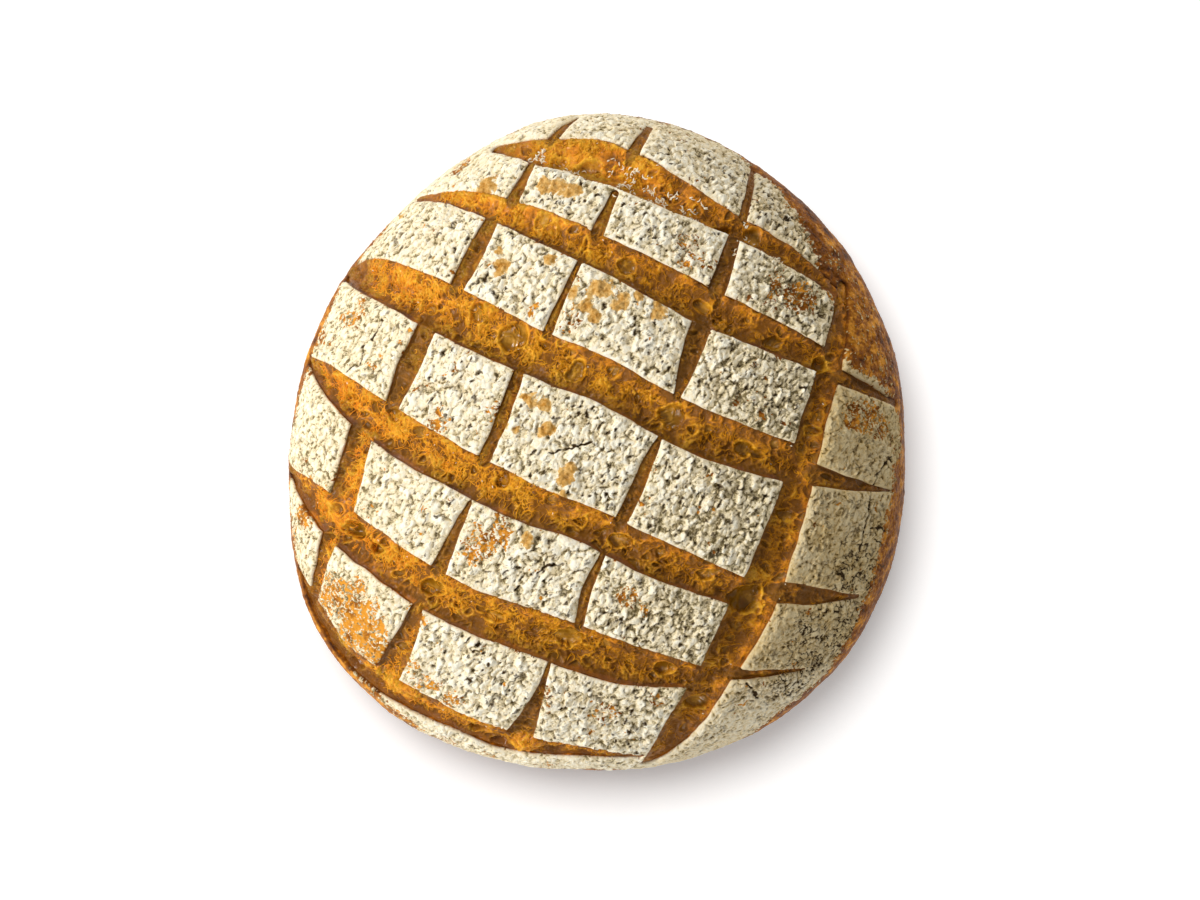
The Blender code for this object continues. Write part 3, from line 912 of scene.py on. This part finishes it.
def outward_from_cut(x, y):
    """The direction in which a place leaves the nearest cut, and how steeply its distance grows."""
    nudge = 0.15
    slope_x = gap_at(x + nudge, y) - gap_at(x - nudge, y)
    slope_y = gap_at(x, y + nudge) - gap_at(x, y - nudge)
    steep = np.maximum(np.hypot(slope_x, slope_y), 1e-6)
    return slope_x / steep, slope_y / steep, steep / (2.0 * nudge)


def snap_rim(shape, cell):
    """Moves the rim's vertices that lie by a cut on to the cut's smooth edge."""
    rim = [vert for vert in shape.verts if vert.is_boundary]
    place = np.array([vert.co[:2] for vert in rim])
    for _ in range(3):
        gap = gap_at(place[:, 0], place[:, 1])
        out_x, out_y, steep = outward_from_cut(place[:, 0], place[:, 1])
        move = np.where(np.abs(gap) < cell * 1.6, np.clip(-gap / np.maximum(steep, 0.4), -cell, cell), 0.0)
        place = place + np.stack((out_x * move, out_y * move), axis=-1)
    for vert, (x, y) in zip(rim, place.tolist()):
        vert.co.x = x
        vert.co.y = y


def close_below(shape, steps):
    """Gives a flat sheet its broken edge, step by step, and a closed underside."""
    rim = [edge for edge in shape.edges if edge.is_boundary]
    for drop, inset in steps:
        made = bmesh.ops.extrude_edge_only(shape, edges=rim)["geom"]
        verts = [item for item in made if isinstance(item, bmesh.types.BMVert)]
        x, y = np.array([vert.co[:2] for vert in verts]).T
        out_x, out_y, _ = outward_from_cut(x, y)
        by_cut = np.where(np.abs(gap_at(x, y)) < 1.6, inset, 0.0)
        for vert, shift_x, shift_y in zip(verts, out_x * by_cut, out_y * by_cut):
            vert.co.x += shift_x
            vert.co.y += shift_y
            vert.co.z -= drop
        rim = [item for item in made if isinstance(item, bmesh.types.BMEdge) and item.is_boundary]
    bmesh.ops.holes_fill(shape, edges=rim, sides=0)
    floors = [face for face in shape.faces if len(face.verts) > 4]
    for vert in bmesh.ops.poke(shape, faces=floors)["verts"]:
        vert.co.z -= UNDERSIDE_DROP
    bmesh.ops.recalc_face_normals(shape, faces=shape.faces)


def mesh_from(name, shape):
    mesh = bpy.data.meshes.new(name)
    shape.to_mesh(mesh)
    shape.free()
    return mesh


def places_of(mesh):
    places = np.empty(len(mesh.vertices) * 3, np.float32)
    mesh.vertices.foreach_get("co", places)
    return places.reshape(-1, 3).astype(float)


def add_piece(name, mesh, finish, places=None, **looks):
    """Makes a piece from its mesh, its vertices' places and the numbers that its finish reads there."""
    if places is not None:
        mesh.vertices.foreach_set("co", places.astype(np.float32).ravel())
        mesh.update()
    for look, value in looks.items():
        mesh.attributes.new(look, "FLOAT", "POINT").data.foreach_set("value", value.astype(np.float32))
    piece = bpy.data.objects.new(name, mesh)
    bpy.context.scene.collection.objects.link(piece)
    mesh.materials.append(made_finish(finish))
    mesh.shade_smooth()
    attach(piece, "root")
    return piece


# ---------------------------------------------------------------------------------------
# Finishes


def in_use(sockets, name=None):
    """The first socket in use, or the first one of a name."""
    return next(socket for socket in sockets if socket.enabled and name in (None, socket.name))


def feed(node, inputs):
    """Gives a node its inputs, named or in order: values, sockets, or nodes for their first output."""
    named = inputs if isinstance(inputs, dict) else dict(enumerate(inputs))
    for name, value in named.items():
        socket = node.inputs[name] if isinstance(name, int) else in_use(node.inputs, name)
        if isinstance(value, bpy.types.Node):
            value = in_use(value.outputs)
        if isinstance(value, bpy.types.NodeSocket):
            node.id_data.links.new(value, socket)
        else:
            socket.default_value = value


def add_node(tree, kind, inputs=(), stops=(), **settings):
    """Adds a shader node with its settings, its inputs and a colour ramp's (position, colour) stops."""
    node = tree.nodes.new("ShaderNode" + kind)
    for name, value in settings.items():
        setattr(node, name, value)
    feed(node, inputs)
    for number, (position, value) in enumerate(stops):
        elements = node.color_ramp.elements
        if number >= len(elements):
            elements.new(position)
        elements[number].position = position
        elements[number].color = opaque(value)
    return node


def opaque(value):
    """A colour with its alpha."""
    return (*value, 1.0)


def made_finish(finish):
    """The material that a finish's function describes and is named for, made once."""
    material = bpy.data.materials.get(finish.__name__)
    if not material:
        material = bpy.data.materials.new(finish.__name__)
        material.use_nodes = True
        add = partial(add_node, material.node_tree)
        place = add("TexCoord").outputs["Object"]
        shader = material.node_tree.nodes["Principled BSDF"]
        feed(shader, finish(add, place, bpy.context.scene.loaf_colours))
    return material


def floured_sourdough_crust(add, place, colours):
    """Floured sourdough crust, baked in a hot oven.

    The flour is a matt, plaster-like coat, cream with warmer clouds, and its creases show the crust under it.
    Bare crust runs from gold to a scorched brown and has a faint baked sheen. The flour's tone also
    carries painted highlights on raised flakes and painted shade in its creases and on the side away from the
    light.
    """
    flour, brown, pit, wall, blister, thick, tanned = (
        add("Attribute", attribute_name=look).outputs["Fac"]
        for look in ("flour", "brown", "pit", "wall", "blister", "thick", "tanned")
    )

    # Bare crust, mottled in patches about 3 mm wide.
    mottle = add("TexNoise", {"Vector": place, "Scale": 330.0, "Detail": 5.0, "Roughness": 0.6})
    fine = add("TexNoise", {"Vector": place, "Scale": 620.0, "Detail": 3.0, "Distortion": 0.8})
    shift = add("Math", (mottle, 0.5, -0.25), operation="MULTIPLY_ADD")
    freckle = add("Math", (fine, 0.7, shift), operation="MULTIPLY_ADD")
    dim = add("Math", (freckle, 0.35), operation="SUBTRACT")
    shade = add("Math", (brown, dim), operation="ADD")
    crust_stops = ((0.16, colours.golden_crust), (0.52, colours.brown_crust), (0.98, colours.dark_crust))
    crust = add("ValToRGB", {"Fac": shade}, crust_stops)
    dome = add("Math", (blister, 0.22, fine), operation="MULTIPLY_ADD")
    tan_stops = (
        (0.36, colours.flour), (0.54, colours.blister_light), (0.86, colours.blister_gold),
        (1.0, colours.brown_crust),
    )
    tan = add("ValToRGB", {"Fac": dome}, tan_stops)
    inner = add("Math", (blister, 12.0), operation="MULTIPLY", use_clamp=True)
    bare = add("Mix", {"Factor": inner, "A": crust, "B": tan}, data_type="RGBA")

    # Flour: paler on raised lumps and darker in creases, as painted highlight and shade, and toasted where it
    # is thin, in clouds about 5 mm wide.
    cloud = add("TexNoise", {"Vector": place, "Scale": 190.0, "Detail": 5.0, "Roughness": 0.7})
    speckle = add("TexNoise", {"Vector": place, "Scale": 900.0, "Detail": 3.0, "Roughness": 0.6})
    sway = add("Math", (cloud, 0.5, thick), operation="MULTIPLY_ADD")
    stir = add("Math", (speckle, 1.1, sway), operation="MULTIPLY_ADD")
    # Small flakes about 1.1 mm wide, each with its own tone.
    drifting = add("TexNoise", {"Vector": place, "Scale": 420.0, "Detail": 2.0}).outputs["Color"]
    bent = add("VectorMath", (drifting, (0.0022, 0.0022, 0.0022), place), operation="MULTIPLY_ADD")
    flake = add("TexVoronoi", {"Vector": bent, "Scale": 900.0}).outputs["Color"]
    flake_edge = add("TexVoronoi", {"Vector": bent, "Scale": 900.0}, feature="DISTANCE_TO_EDGE")
    own = add("SeparateColor", {"Color": flake})
    varied = add("Math", (own, 0.42, stir), operation="MULTIPLY_ADD")
    tone = add("MapRange", {"Value": varied, "From Min": 0.90, "From Max": 1.95})
    flour_stops = (
        (0.0, colours.flour_crease), (0.16, colours.warm_flour), (0.42, colours.flour),
        (1.0, colours.flour_bright),
    )
    coated = add("ValToRGB", {"Fac": tone}, flour_stops)
    # Partly painted shade: the tint darkens the flour on the right flank and low on the right side.
    tint = opaque(colours.tanned_flour)
    white = add("Mix", {"Factor": tanned, "A": coated, "B": tint}, data_type="RGBA", blend_type="MULTIPLY")

    # The coat breaks off in grains under a millimetre wide.
    grain = add("TexNoise", {"Vector": place, "Scale": 1500.0, "Detail": 2.0})
    ragged = add("Math", (grain, 0.8, -0.4), operation="MULTIPLY_ADD")
    edge = add("Math", (flour, ragged), operation="ADD")
    cover = add("MapRange", {"Value": edge, "From Min": 0.35, "From Max": 0.65})
    coat = add("Mix", {"Factor": cover, "A": bare, "B": white}, data_type="RGBA")
    # Pits and cracks darken the coat: crust showing through, partly painted shade.
    deep = add("Math", (ragged, 0.6, pit), operation="MULTIPLY_ADD")
    shown = add("MapRange", {"Value": deep, "From Min": 0.12, "From Max": 0.68})
    pitted = add("Mix", {"Factor": shown, "A": coat, "B": opaque(colours.pit)}, data_type="RGBA")

    # The broken edge under the flour is brown, mottled from dark to orange.
    broken_stops = ((0.30, colours.dark_crust), (0.52, colours.brown_crust), (0.72, colours.crumb_orange))
    broken = add("ValToRGB", {"Fac": mottle}, broken_stops)
    skin = add("Mix", {"Factor": wall, "A": pitted, "B": broken}, data_type="RGBA")
    dull = add("MapRange", {"Value": cover, "To Min": 0.52, "To Max": 0.94})

    # Powder grain on the flour and fine blisters on the crust.
    powder = add("TexNoise", {"Vector": place, "Scale": 1100.0, "Detail": 4.0, "Roughness": 0.7})
    seam = add("MapRange", {"Value": flake_edge, "From Max": 0.22, "To Min": -0.5})
    grainy = add("Math", (seam, 0.25, powder), operation="MULTIPLY_ADD")
    bump = add("Bump", {"Height": grainy, "Strength": 0.6, "Distance": 0.0005})
    return {"Base Color": skin, "Roughness": dull, "Specular IOR Level": 0.12, "Normal": bump}


def torn_sourdough_crumb(add, place, colours):
    """Torn sourdough crumb that baked open in the score.

    Gluten dries to fine, curly, slightly shiny threads, gold over darker amber hollows, and
    caramelises to orange and brown along the crust. Its colour also carries painted light: orange
    on walls that face the light, and painted shade on each cut's shaded side and in the slits.
    """
    raised, hollow, lip, glow, baked, shut, shade, stringy = (
        add("Attribute", attribute_name=look).outputs["Fac"]
        for look in ("raised", "hollow", "lip", "glow", "baked", "shut", "shade", "stringy")
    )

    # Threads about 0.6 mm apart that curl round each other.
    curl = add(
        "TexNoise", {"Vector": place, "Scale": 560.0, "Detail": 2.0, "Roughness": 0.5, "Distortion": 1.8}
    )
    off = add("Math", (curl, 0.5), operation="SUBTRACT")
    near = add("Math", (off,), operation="ABSOLUTE")
    thread = add("MapRange", {"Value": near, "From Min": 0.0, "From Max": 0.08, "To Min": 1.0, "To Max": 0.0})
    smooth = add("Math", (lip, 0.5, hollow), operation="MULTIPLY_ADD")
    loose = add("Math", (1.0, smooth), operation="SUBTRACT")
    teased = add("Math", (loose, stringy), operation="MULTIPLY")
    fibre = add("Math", (thread, teased), operation="MULTIPLY")
    # Amber clouds about 6 mm wide.
    patch = add("TexNoise", {"Vector": place, "Scale": 160.0, "Detail": 4.0, "Roughness": 0.62})
    # Brighter on raised strands and darker between them, partly painted highlight and shade.
    lift = add("Math", (fibre, 0.34, raised), operation="MULTIPLY_ADD")
    sway = add("Math", (patch, 1.3, -0.80), operation="MULTIPLY_ADD")
    level = add("Math", (lift, sway), operation="ADD")
    body_stops = ((0.10, colours.crumb_deep), (0.38, colours.crumb), (0.68, colours.crumb_bright))
    body = add("ValToRGB", {"Fac": level}, body_stops)
    flame_stops = ((0.06, colours.crumb_edge), (0.40, colours.crumb_orange), (0.76, colours.crumb_bright))
    flame = add("ValToRGB", {"Fac": level}, flame_stops)
    # Painted light, partly caramel: orange on the walls that face the light.
    warm = add("Mix", {"Factor": glow, "A": body, "B": flame}, data_type="RGBA")
    membrane_stops = ((0.30, colours.crumb_deep), (0.48, colours.crumb_hollow), (0.70, colours.membrane_pale))
    membrane = add("ValToRGB", {"Fac": patch}, membrane_stops)
    sunk = add("Math", (hollow, 0.85), operation="MULTIPLY")
    bubbled = add("Mix", {"Factor": sunk, "A": warm, "B": membrane}, data_type="RGBA")
    # Painted shade: the slits, and the crumb on each cut's shaded side, mix towards a brown crumb.
    closed = add("Math", (shut, 1.1, shade), operation="MULTIPLY_ADD")
    brownness = add("MapRange", {"Value": closed, "From Max": 1.4, "To Max": 0.80})
    shut_crumb = opaque(colours.crumb_shade)
    slits = add("Mix", {"Factor": brownness, "A": bubbled, "B": shut_crumb}, data_type="RGBA")
    # The lip's browns are partly painted shade on the near wall.
    lip_stops = (
        (0.32, colours.dark_crust), (0.44, colours.lip_brown), (0.58, colours.brown_crust),
        (0.74, colours.crumb_orange),
    )
    lipped = add("ValToRGB", {"Fac": patch}, lip_stops)
    walled = add("Mix", {"Factor": lip, "A": slits, "B": lipped}, data_type="RGBA")
    # Browner near the rim and along the cut edges: partly caramel and partly painted shade.
    burnt = add("Math", (baked, 0.85), operation="MULTIPLY")
    toasted = add("Mix", {"Factor": burnt, "A": walled, "B": opaque(colours.crumb_edge)}, data_type="RGBA")
    gloss = add("MapRange", {"Value": smooth, "To Min": 0.38, "To Max": 0.20})
    bump = add("Bump", {"Height": fibre, "Strength": 0.8, "Distance": 0.0005})
    return {"Base Color": toasted, "Roughness": gloss, "Specular IOR Level": 0.28, "Normal": bump}


def dried_gluten_thread(add, place, colours):
    """Dried gluten thread: thin, gold and a little glossy, browner here and there."""
    patch = add("TexNoise", {"Vector": place, "Scale": 160.0, "Detail": 4.0, "Roughness": 0.7})
    # Browner and darker towards the right of the loaf, over 100 mm, partly painted shade.
    across = add("SeparateXYZ", {"Vector": place})
    ripe = add("MapRange", {"Value": across, "From Min": -0.08, "From Max": 0.02, "To Max": -0.26})
    warm = add("Math", (patch, ripe), operation="ADD")
    gold_stops = (
        (0.06, colours.crumb_deep), (0.30, colours.crumb), (0.52, colours.crumb_bright),
        (0.76, colours.thread_pale),
    )
    gold = add("ValToRGB", {"Fac": warm}, gold_stops)
    flame_stops = (
        (0.26, colours.golden_crust), (0.44, colours.crumb_orange), (0.60, colours.crumb_bright),
        (0.76, colours.thread_pale),
    )
    flame = add("ValToRGB", {"Fac": warm}, flame_stops)
    # Orange towards the left rim, partly caramel and partly painted light.
    caught = add("MapRange", {"Value": across, "From Min": -0.02, "From Max": -0.09})
    tint = add("Mix", {"Factor": caught, "A": gold, "B": flame}, data_type="RGBA")
    return {"Base Color": tint, "Roughness": 0.38, "Specular IOR Level": 0.2}


def loose_flour(add, place, colours):
    """Loose flour: bright matt crumbs of powder."""
    patch = add("TexNoise", {"Vector": place, "Scale": 700.0, "Detail": 3.0})
    bright, plain = opaque(colours.flour_bright), opaque(colours.flour)
    white = add("Mix", {"Factor": patch, "A": bright, "B": plain}, data_type="RGBA")
    return {"Base Color": white, "Roughness": 0.95}


def studio_paper(add, place, colours):
    """Seamless studio paper: matt, almost white, with a slight tooth."""
    tooth = add("TexNoise", {"Vector": place, "Scale": 600.0, "Detail": 2.0})
    light, dim = opaque(linear("#F4F3F2")), opaque(linear("#F7F6F5"))
    tint = add("Mix", {"Factor": tooth, "A": light, "B": dim}, data_type="RGBA")
    white = opaque((1.0, 1.0, 1.0))
    return {"Base Color": tint, "Roughness": 0.9, "Emission Color": white, "Emission Strength": 0.22}


# ---------------------------------------------------------------------------------------
# Pieces


class LOAF_OT_body(bpy.types.Operator):
    """Makes the loaf's brown side, its heel and its base as one closed solid"""

    bl_idname = "loaf.body"
    bl_label = "Loaf side and base"
    bl_options = {"REGISTER", "UNDO"}

    def execute(self, context):
        sizes = context.scene.loaf_sizes
        shape = bmesh.new()
        bmesh.ops.create_uvsphere(shape, u_segments=sizes.side_segments, v_segments=LAST_RING, radius=1.0)
        mesh = mesh_from("loaf_body", shape)
        x, y, z = places_of(mesh).T
        angle = np.arctan2(y, x)
        ring = np.arccos(np.clip(z, -1.0, 1.0)) / math.pi * LAST_RING
        length = np.maximum(np.interp(ring, BODY_RINGS, BODY_RING_SKIN), 0.05)
        x, y = length * np.cos(angle), length * np.sin(angle)
        height, looks = crust_relief(x, y, np.full(len(x), CUT_REACH), sizes)
        height = height * soft_drop(HEEL_LENGTH - 9.0, HEEL_LENGTH, length)
        # Under the plates it lies deep enough to stay clear of the crumb.
        height = height - 9.5 * soft_drop(PLATE_END - 14.0, PLATE_END - 0.8, length)
        places = wrapped(x, y, height)
        # The rings past the heel close in on the middle, as a slightly dimpled base.
        share = limited((LAST_RING - ring) / (LAST_RING - HEEL_RING))
        centre = np.array((-MIDDLE_X, -MIDDLE_Y, 0.0)) * MM
        under = centre + (places - centre) * share[:, None]
        dimple = np.abs(layered_noise(under / MM, 6.0, 3, 91)) * 0.9 * np.minimum(1.0, (1.0 - share) * 6.0)
        under[:, 2] = dimple * MM
        places = np.where((ring > HEEL_RING + 0.01)[:, None], under, places)
        places[:, 2] = np.maximum(places[:, 2], 0.0)
        looks["brown"] = np.where(ring > HEEL_RING, 0.62 + dimple * 0.25, looks["brown"])
        looks["flour"] = np.where(ring > HEEL_RING, 0.0, looks["flour"])
        piece = add_piece("loaf_body", mesh, floured_sourdough_crust, places, wall=np.zeros(len(x)), **looks)
        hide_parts("loaf")
        return {"FINISHED"}


class LOAF_OT_plates(bpy.types.Operator):
    """Makes the floured plates of crust that stand between the scores"""

    bl_idname = "loaf.plates"
    bl_label = "Floured plates"
    bl_options = {"REGISTER", "UNDO"}

    def execute(self, context):
        sizes = context.scene.loaf_sizes
        cell = sizes.plate_cell / MM
        for name, shape in row_sheets(PLATE_NAMES, plate_row, 0.0, np.inf, cell):
            snap_rim(shape, cell)
            close_below(shape, PLATE_EDGE)
            mesh = mesh_from(name, shape)
            x, y, drop = places_of(mesh).T
            height, looks = crust_relief(x, y, gap_at(x, y), sizes)
            tuck = 0.6 * soft_step(PLATE_END - 1.4, PLATE_END, np.hypot(x, y))
            places = wrapped(x, y, height + drop - tuck)
            add_piece(name, mesh, floured_sourdough_crust, places, wall=soft_step(0.55, 1.0, -drop), **looks)
        return {"FINISHED"}


class LOAF_OT_crumb(bpy.types.Operator):
    """Makes the torn crumb that shows in the scores and slits"""

    bl_idname = "loaf.crumb"
    bl_label = "Torn crumb"
    bl_options = {"REGISTER", "UNDO"}

    def execute(self, context):
        sizes = context.scene.loaf_sizes
        for name, shape in row_sheets(CRUMB_NAMES, crumb_row, -np.inf, CRUMB_TUCK, sizes.crumb_cell / MM):
            close_below(shape, CRUMB_EDGE)
            mesh = mesh_from(name, shape)
            x, y, drop = places_of(mesh).T
            height, looks = crumb_relief(x, y, sizes)
            add_piece(name, mesh, torn_sourdough_crumb, wrapped(x, y, height + drop), **looks)
        return {"FINISHED"}


def scattered_in_cuts(count, chance, inset, sizes):
    """Chosen places inside the cuts, clumped as a slow pattern says."""
    x, y = chance.uniform(-142.0, 142.0, (2, count))
    inside = gap_at(x, y) < -inset
    x, y = x[inside], y[inside]
    _, looks = crumb_relief(x, y, sizes)
    chosen = layered_noise(spread(x, y), 12.0, 2, 131) > chance.uniform(-1.2, 0.4, len(x))
    for look, most in (("lip", 0.3), ("hollow", 0.45), ("baked", 0.5), ("shade", 0.6)):
        chosen &= looks[look] < most
    chosen &= chance.uniform(0.0, 1.0, len(x)) < looks["stringy"] * 1.4 - 0.28
    chosen &= chance.uniform(0.0, 1.0, len(x)) > looks["shut"] * 0.85 + 0.1
    return x[chosen], y[chosen]


class LOAF_OT_threads(bpy.types.Operator):
    """Makes the fine dry gluten threads that curl over the torn crumb"""

    bl_idname = "loaf.threads"
    bl_label = "Gluten threads"
    bl_options = {"REGISTER", "UNDO"}

    def execute(self, context):
        sizes = context.scene.loaf_sizes
        chance = np.random.default_rng(7)
        starts = np.array(scattered_in_cuts(THREAD_TRIES, chance, 0.3, sizes))
        for part, name in enumerate(THREAD_NAMES):
            line = [starts[:, part * THREADS_IN_PIECE : (part + 1) * THREADS_IN_PIECE]]
            count = line[0].shape[1]
            turn = chance.uniform(0.0, 2.0 * math.pi, count)
            curl = chance.normal(0.0, 0.55, count)
            step = chance.uniform(0.26, 0.66, count)
            for _ in range(THREAD_POINTS - 1):
                curl = curl + chance.normal(0.0, 0.30, count)
                turn = turn + curl * step
                line.append(line[-1] + np.array((np.cos(turn), np.sin(turn))) * step)
            x, y = np.array(line).transpose(1, 0, 2).reshape(2, -1)
            rise = crumb_relief(x, y, sizes)[0].reshape(THREAD_POINTS, count)
            arch = np.sin(np.linspace(0.0, math.pi, THREAD_POINTS))[:, None]
            arch = arch * chance.uniform(0.0, 0.16, count)
            rise = rise * 0.65 + rise.mean(axis=0) * 0.35 + arch - 0.02
            places = np.ones((THREAD_POINTS, count, 4))
            places[:, :, :3] = wrapped(x, y, rise.ravel()).reshape(THREAD_POINTS, count, 3)
            curve = bpy.data.curves.new(name, "CURVE")
            curve.dimensions = "3D"
            curve.bevel_depth = THREAD_RADIUS * MM
            curve.bevel_resolution = 0
            curve.use_fill_caps = True
            for thread, thin in enumerate(chance.uniform(0.5, 1.0, count)):
                spline = curve.splines.new("POLY")
                spline.points.add(THREAD_POINTS - 1)
                spline.points.foreach_set("co", places[:, thread].ravel())
                taper = [0.45 * thin, *[thin] * (THREAD_POINTS - 2), 0.45 * thin]
                spline.points.foreach_set("radius", taper)
            guide = bpy.data.objects.new(name + "_guide", curve)
            context.scene.collection.objects.link(guide)
            tubes = bpy.data.meshes.new_from_object(guide.evaluated_get(context.evaluated_depsgraph_get()))
            bpy.data.objects.remove(guide, do_unlink=True)
            shape = bmesh.new()
            shape.from_mesh(tubes)
            bpy.data.meshes.remove(tubes)
            bmesh.ops.remove_doubles(shape, verts=shape.verts, dist=0.001 * MM)
            add_piece(name, mesh_from(name, shape), dried_gluten_thread)
        return {"FINISHED"}


class LOAF_OT_loose_flour(bpy.types.Operator):
    """Scatters the loose flour that fell into the scores"""

    bl_idname = "loaf.loose_flour"
    bl_label = "Loose flour"
    bl_options = {"REGISTER", "UNDO"}

    def execute(self, context):
        sizes = context.scene.loaf_sizes
        chance = np.random.default_rng(19)
        x, y = scattered_in_cuts(FLAKE_TRIES, chance, 0.8, sizes)
        heaps = np.repeat(np.array(FLOUR_SPILLS, float), 5, axis=0)
        heaps[:, :2] += chance.normal(0.0, 0.75, (len(heaps), 2)) * heaps[:, 2:3]
        centre = heaps[chance.integers(0, len(heaps), SPILLED_FLAKES), :2]
        spilled = centre + chance.normal(0.0, 0.75, centre.shape)
        spilled = spilled[gap_at(*spilled.T) < -0.4]
        big = np.repeat((0.35, 1.0), (len(x), len(spilled)))
        x, y = np.concatenate((x, spilled[:, 0])), np.concatenate((y, spilled[:, 1]))
        places = wrapped(x, y, crumb_relief(x, y, sizes)[0] + 0.14)
        shape = bmesh.new()
        for place, scale in zip(places, big):
            made = bmesh.ops.create_uvsphere(shape, u_segments=5, v_segments=6, radius=1.0)["verts"]
            thick, wide = chance.uniform(0.16, 0.30, 2) * (0.6 + 0.5 * scale)
            long = thick + (0.2 + 0.7 * chance.uniform()) * scale
            bend = chance.uniform(-1.3, 1.3) * scale
            for vert in made:
                # A flake lies flat and curls like a shaving.
                across, thickness, along = vert.co
                across = across * wide + bend * (1.0 - along * along) * long * 0.6
                vert.co = (across, along * long, thickness * thick)
            turn = Euler((*chance.normal(0.0, 0.3, 2), chance.uniform(0.0, 6.28))).to_matrix()
            bmesh.ops.transform(shape, verts=made, matrix=Matrix.Translation(place) @ (turn * MM).to_4x4())
        bmesh.ops.recalc_face_normals(shape, faces=shape.faces)
        add_piece("loose_flour", mesh_from("loose_flour", shape), loose_flour)
        return {"FINISHED"}


class LOAF_OT_stage(bpy.types.Operator):
    """Makes the floor, the lights and the camera"""

    bl_idname = "loaf.stage"
    bl_label = "Studio"
    bl_options = {"REGISTER", "UNDO"}

    def execute(self, context):
        scene = context.scene
        shape = bmesh.new()
        bmesh.ops.create_grid(shape, x_segments=1, y_segments=1, size=4.0)
        floor = bpy.data.objects.new("studio_floor", mesh_from("studio_floor", shape))
        floor.data.materials.append(made_finish(studio_paper))
        scene.collection.objects.link(floor)
        for name, watts, width, turn, rise, far in STUDIO_LIGHTS:
            data = bpy.data.lights.new(name, "AREA")
            data.energy, data.shape, data.size = watts, "DISK", width
            light = bpy.data.objects.new(name, data)
            turn, rise = math.radians(turn), math.radians(rise)
            back = Vector((math.cos(turn) * math.cos(rise), math.sin(turn) * math.cos(rise), math.sin(rise)))
            light.location = Vector(LIGHTS_AIM) + back * far
            light.rotation_euler = (-back).to_track_quat("-Z", "Y").to_euler()
            scene.collection.objects.link(light)
            # The paper has a light of its own, and the loaf's lights leave it out.
            lit = bpy.data.collections.new(name + "_subjects")
            lit.objects.link(floor)
            light.light_linking.receiver_collection = lit
            if name != "paper_light":
                lit.collection_objects[0].light_linking.link_state = "EXCLUDE"
        scene.world = bpy.data.worlds.new("studio_room")
        scene.world.use_nodes = True
        room = scene.world.node_tree.nodes["Background"]
        feed(room, {"Color": opaque((1.0, 1.0, 1.0)), "Strength": ROOM_LIGHT})
        data = bpy.data.cameras.new("camera_above")
        data.lens, data.sensor_width, data.clip_end = 85.0, 36.0, 20.0
        camera = bpy.data.objects.new("camera_above", data)
        aside_x, aside_y = CAMERA_ASIDE
        camera.location = (-MIDDLE_X * MM + aside_x, -MIDDLE_Y * MM + aside_y, scene.loaf_sizes.camera_height)
        scene.collection.objects.link(camera)
        scene.camera = camera
        scene.view_settings.view_transform = "Standard"
        return {"FINISHED"}


class LOAF_PT_panel(bpy.types.Panel):
    """Lists the loaf's pieces and sizes"""

    bl_idname = "LOAF_PT_panel"
    bl_label = "Sourdough loaf"
    bl_space_type = "VIEW_3D"
    bl_region_type = "UI"
    bl_category = "Loaf"

    def draw(self, context):
        layout = self.layout
        for operator in PIECES:
            layout.operator(operator.bl_idname)
        for group in (context.scene.loaf_sizes, context.scene.loaf_colours):
            box = layout.box()
            for name in group.bl_rna.properties.keys():
                if name not in ("rna_type", "name"):
                    box.prop(group, name)


PIECES = (LOAF_OT_body, LOAF_OT_plates, LOAF_OT_crumb, LOAF_OT_threads, LOAF_OT_loose_flour, LOAF_OT_stage)
CLASSES = (LoafSizes, LoafColours, *PIECES, LOAF_PT_panel)


def register():
    for made in CLASSES:
        bpy.utils.register_class(made)
    bpy.types.Scene.loaf_sizes = PointerProperty(type=LoafSizes)
    bpy.types.Scene.loaf_colours = PointerProperty(type=LoafColours)


def unregister():
    del bpy.types.Scene.loaf_colours
    del bpy.types.Scene.loaf_sizes
    for made in reversed(CLASSES):
        bpy.utils.unregister_class(made)


def main():
    register()
    bpy.ops.loaf.body()
    bpy.ops.loaf.plates()
    bpy.ops.loaf.crumb()
    bpy.ops.loaf.threads()
    bpy.ops.loaf.loose_flour()
    bpy.ops.loaf.stage()


if __name__ == "__main__":
    main()
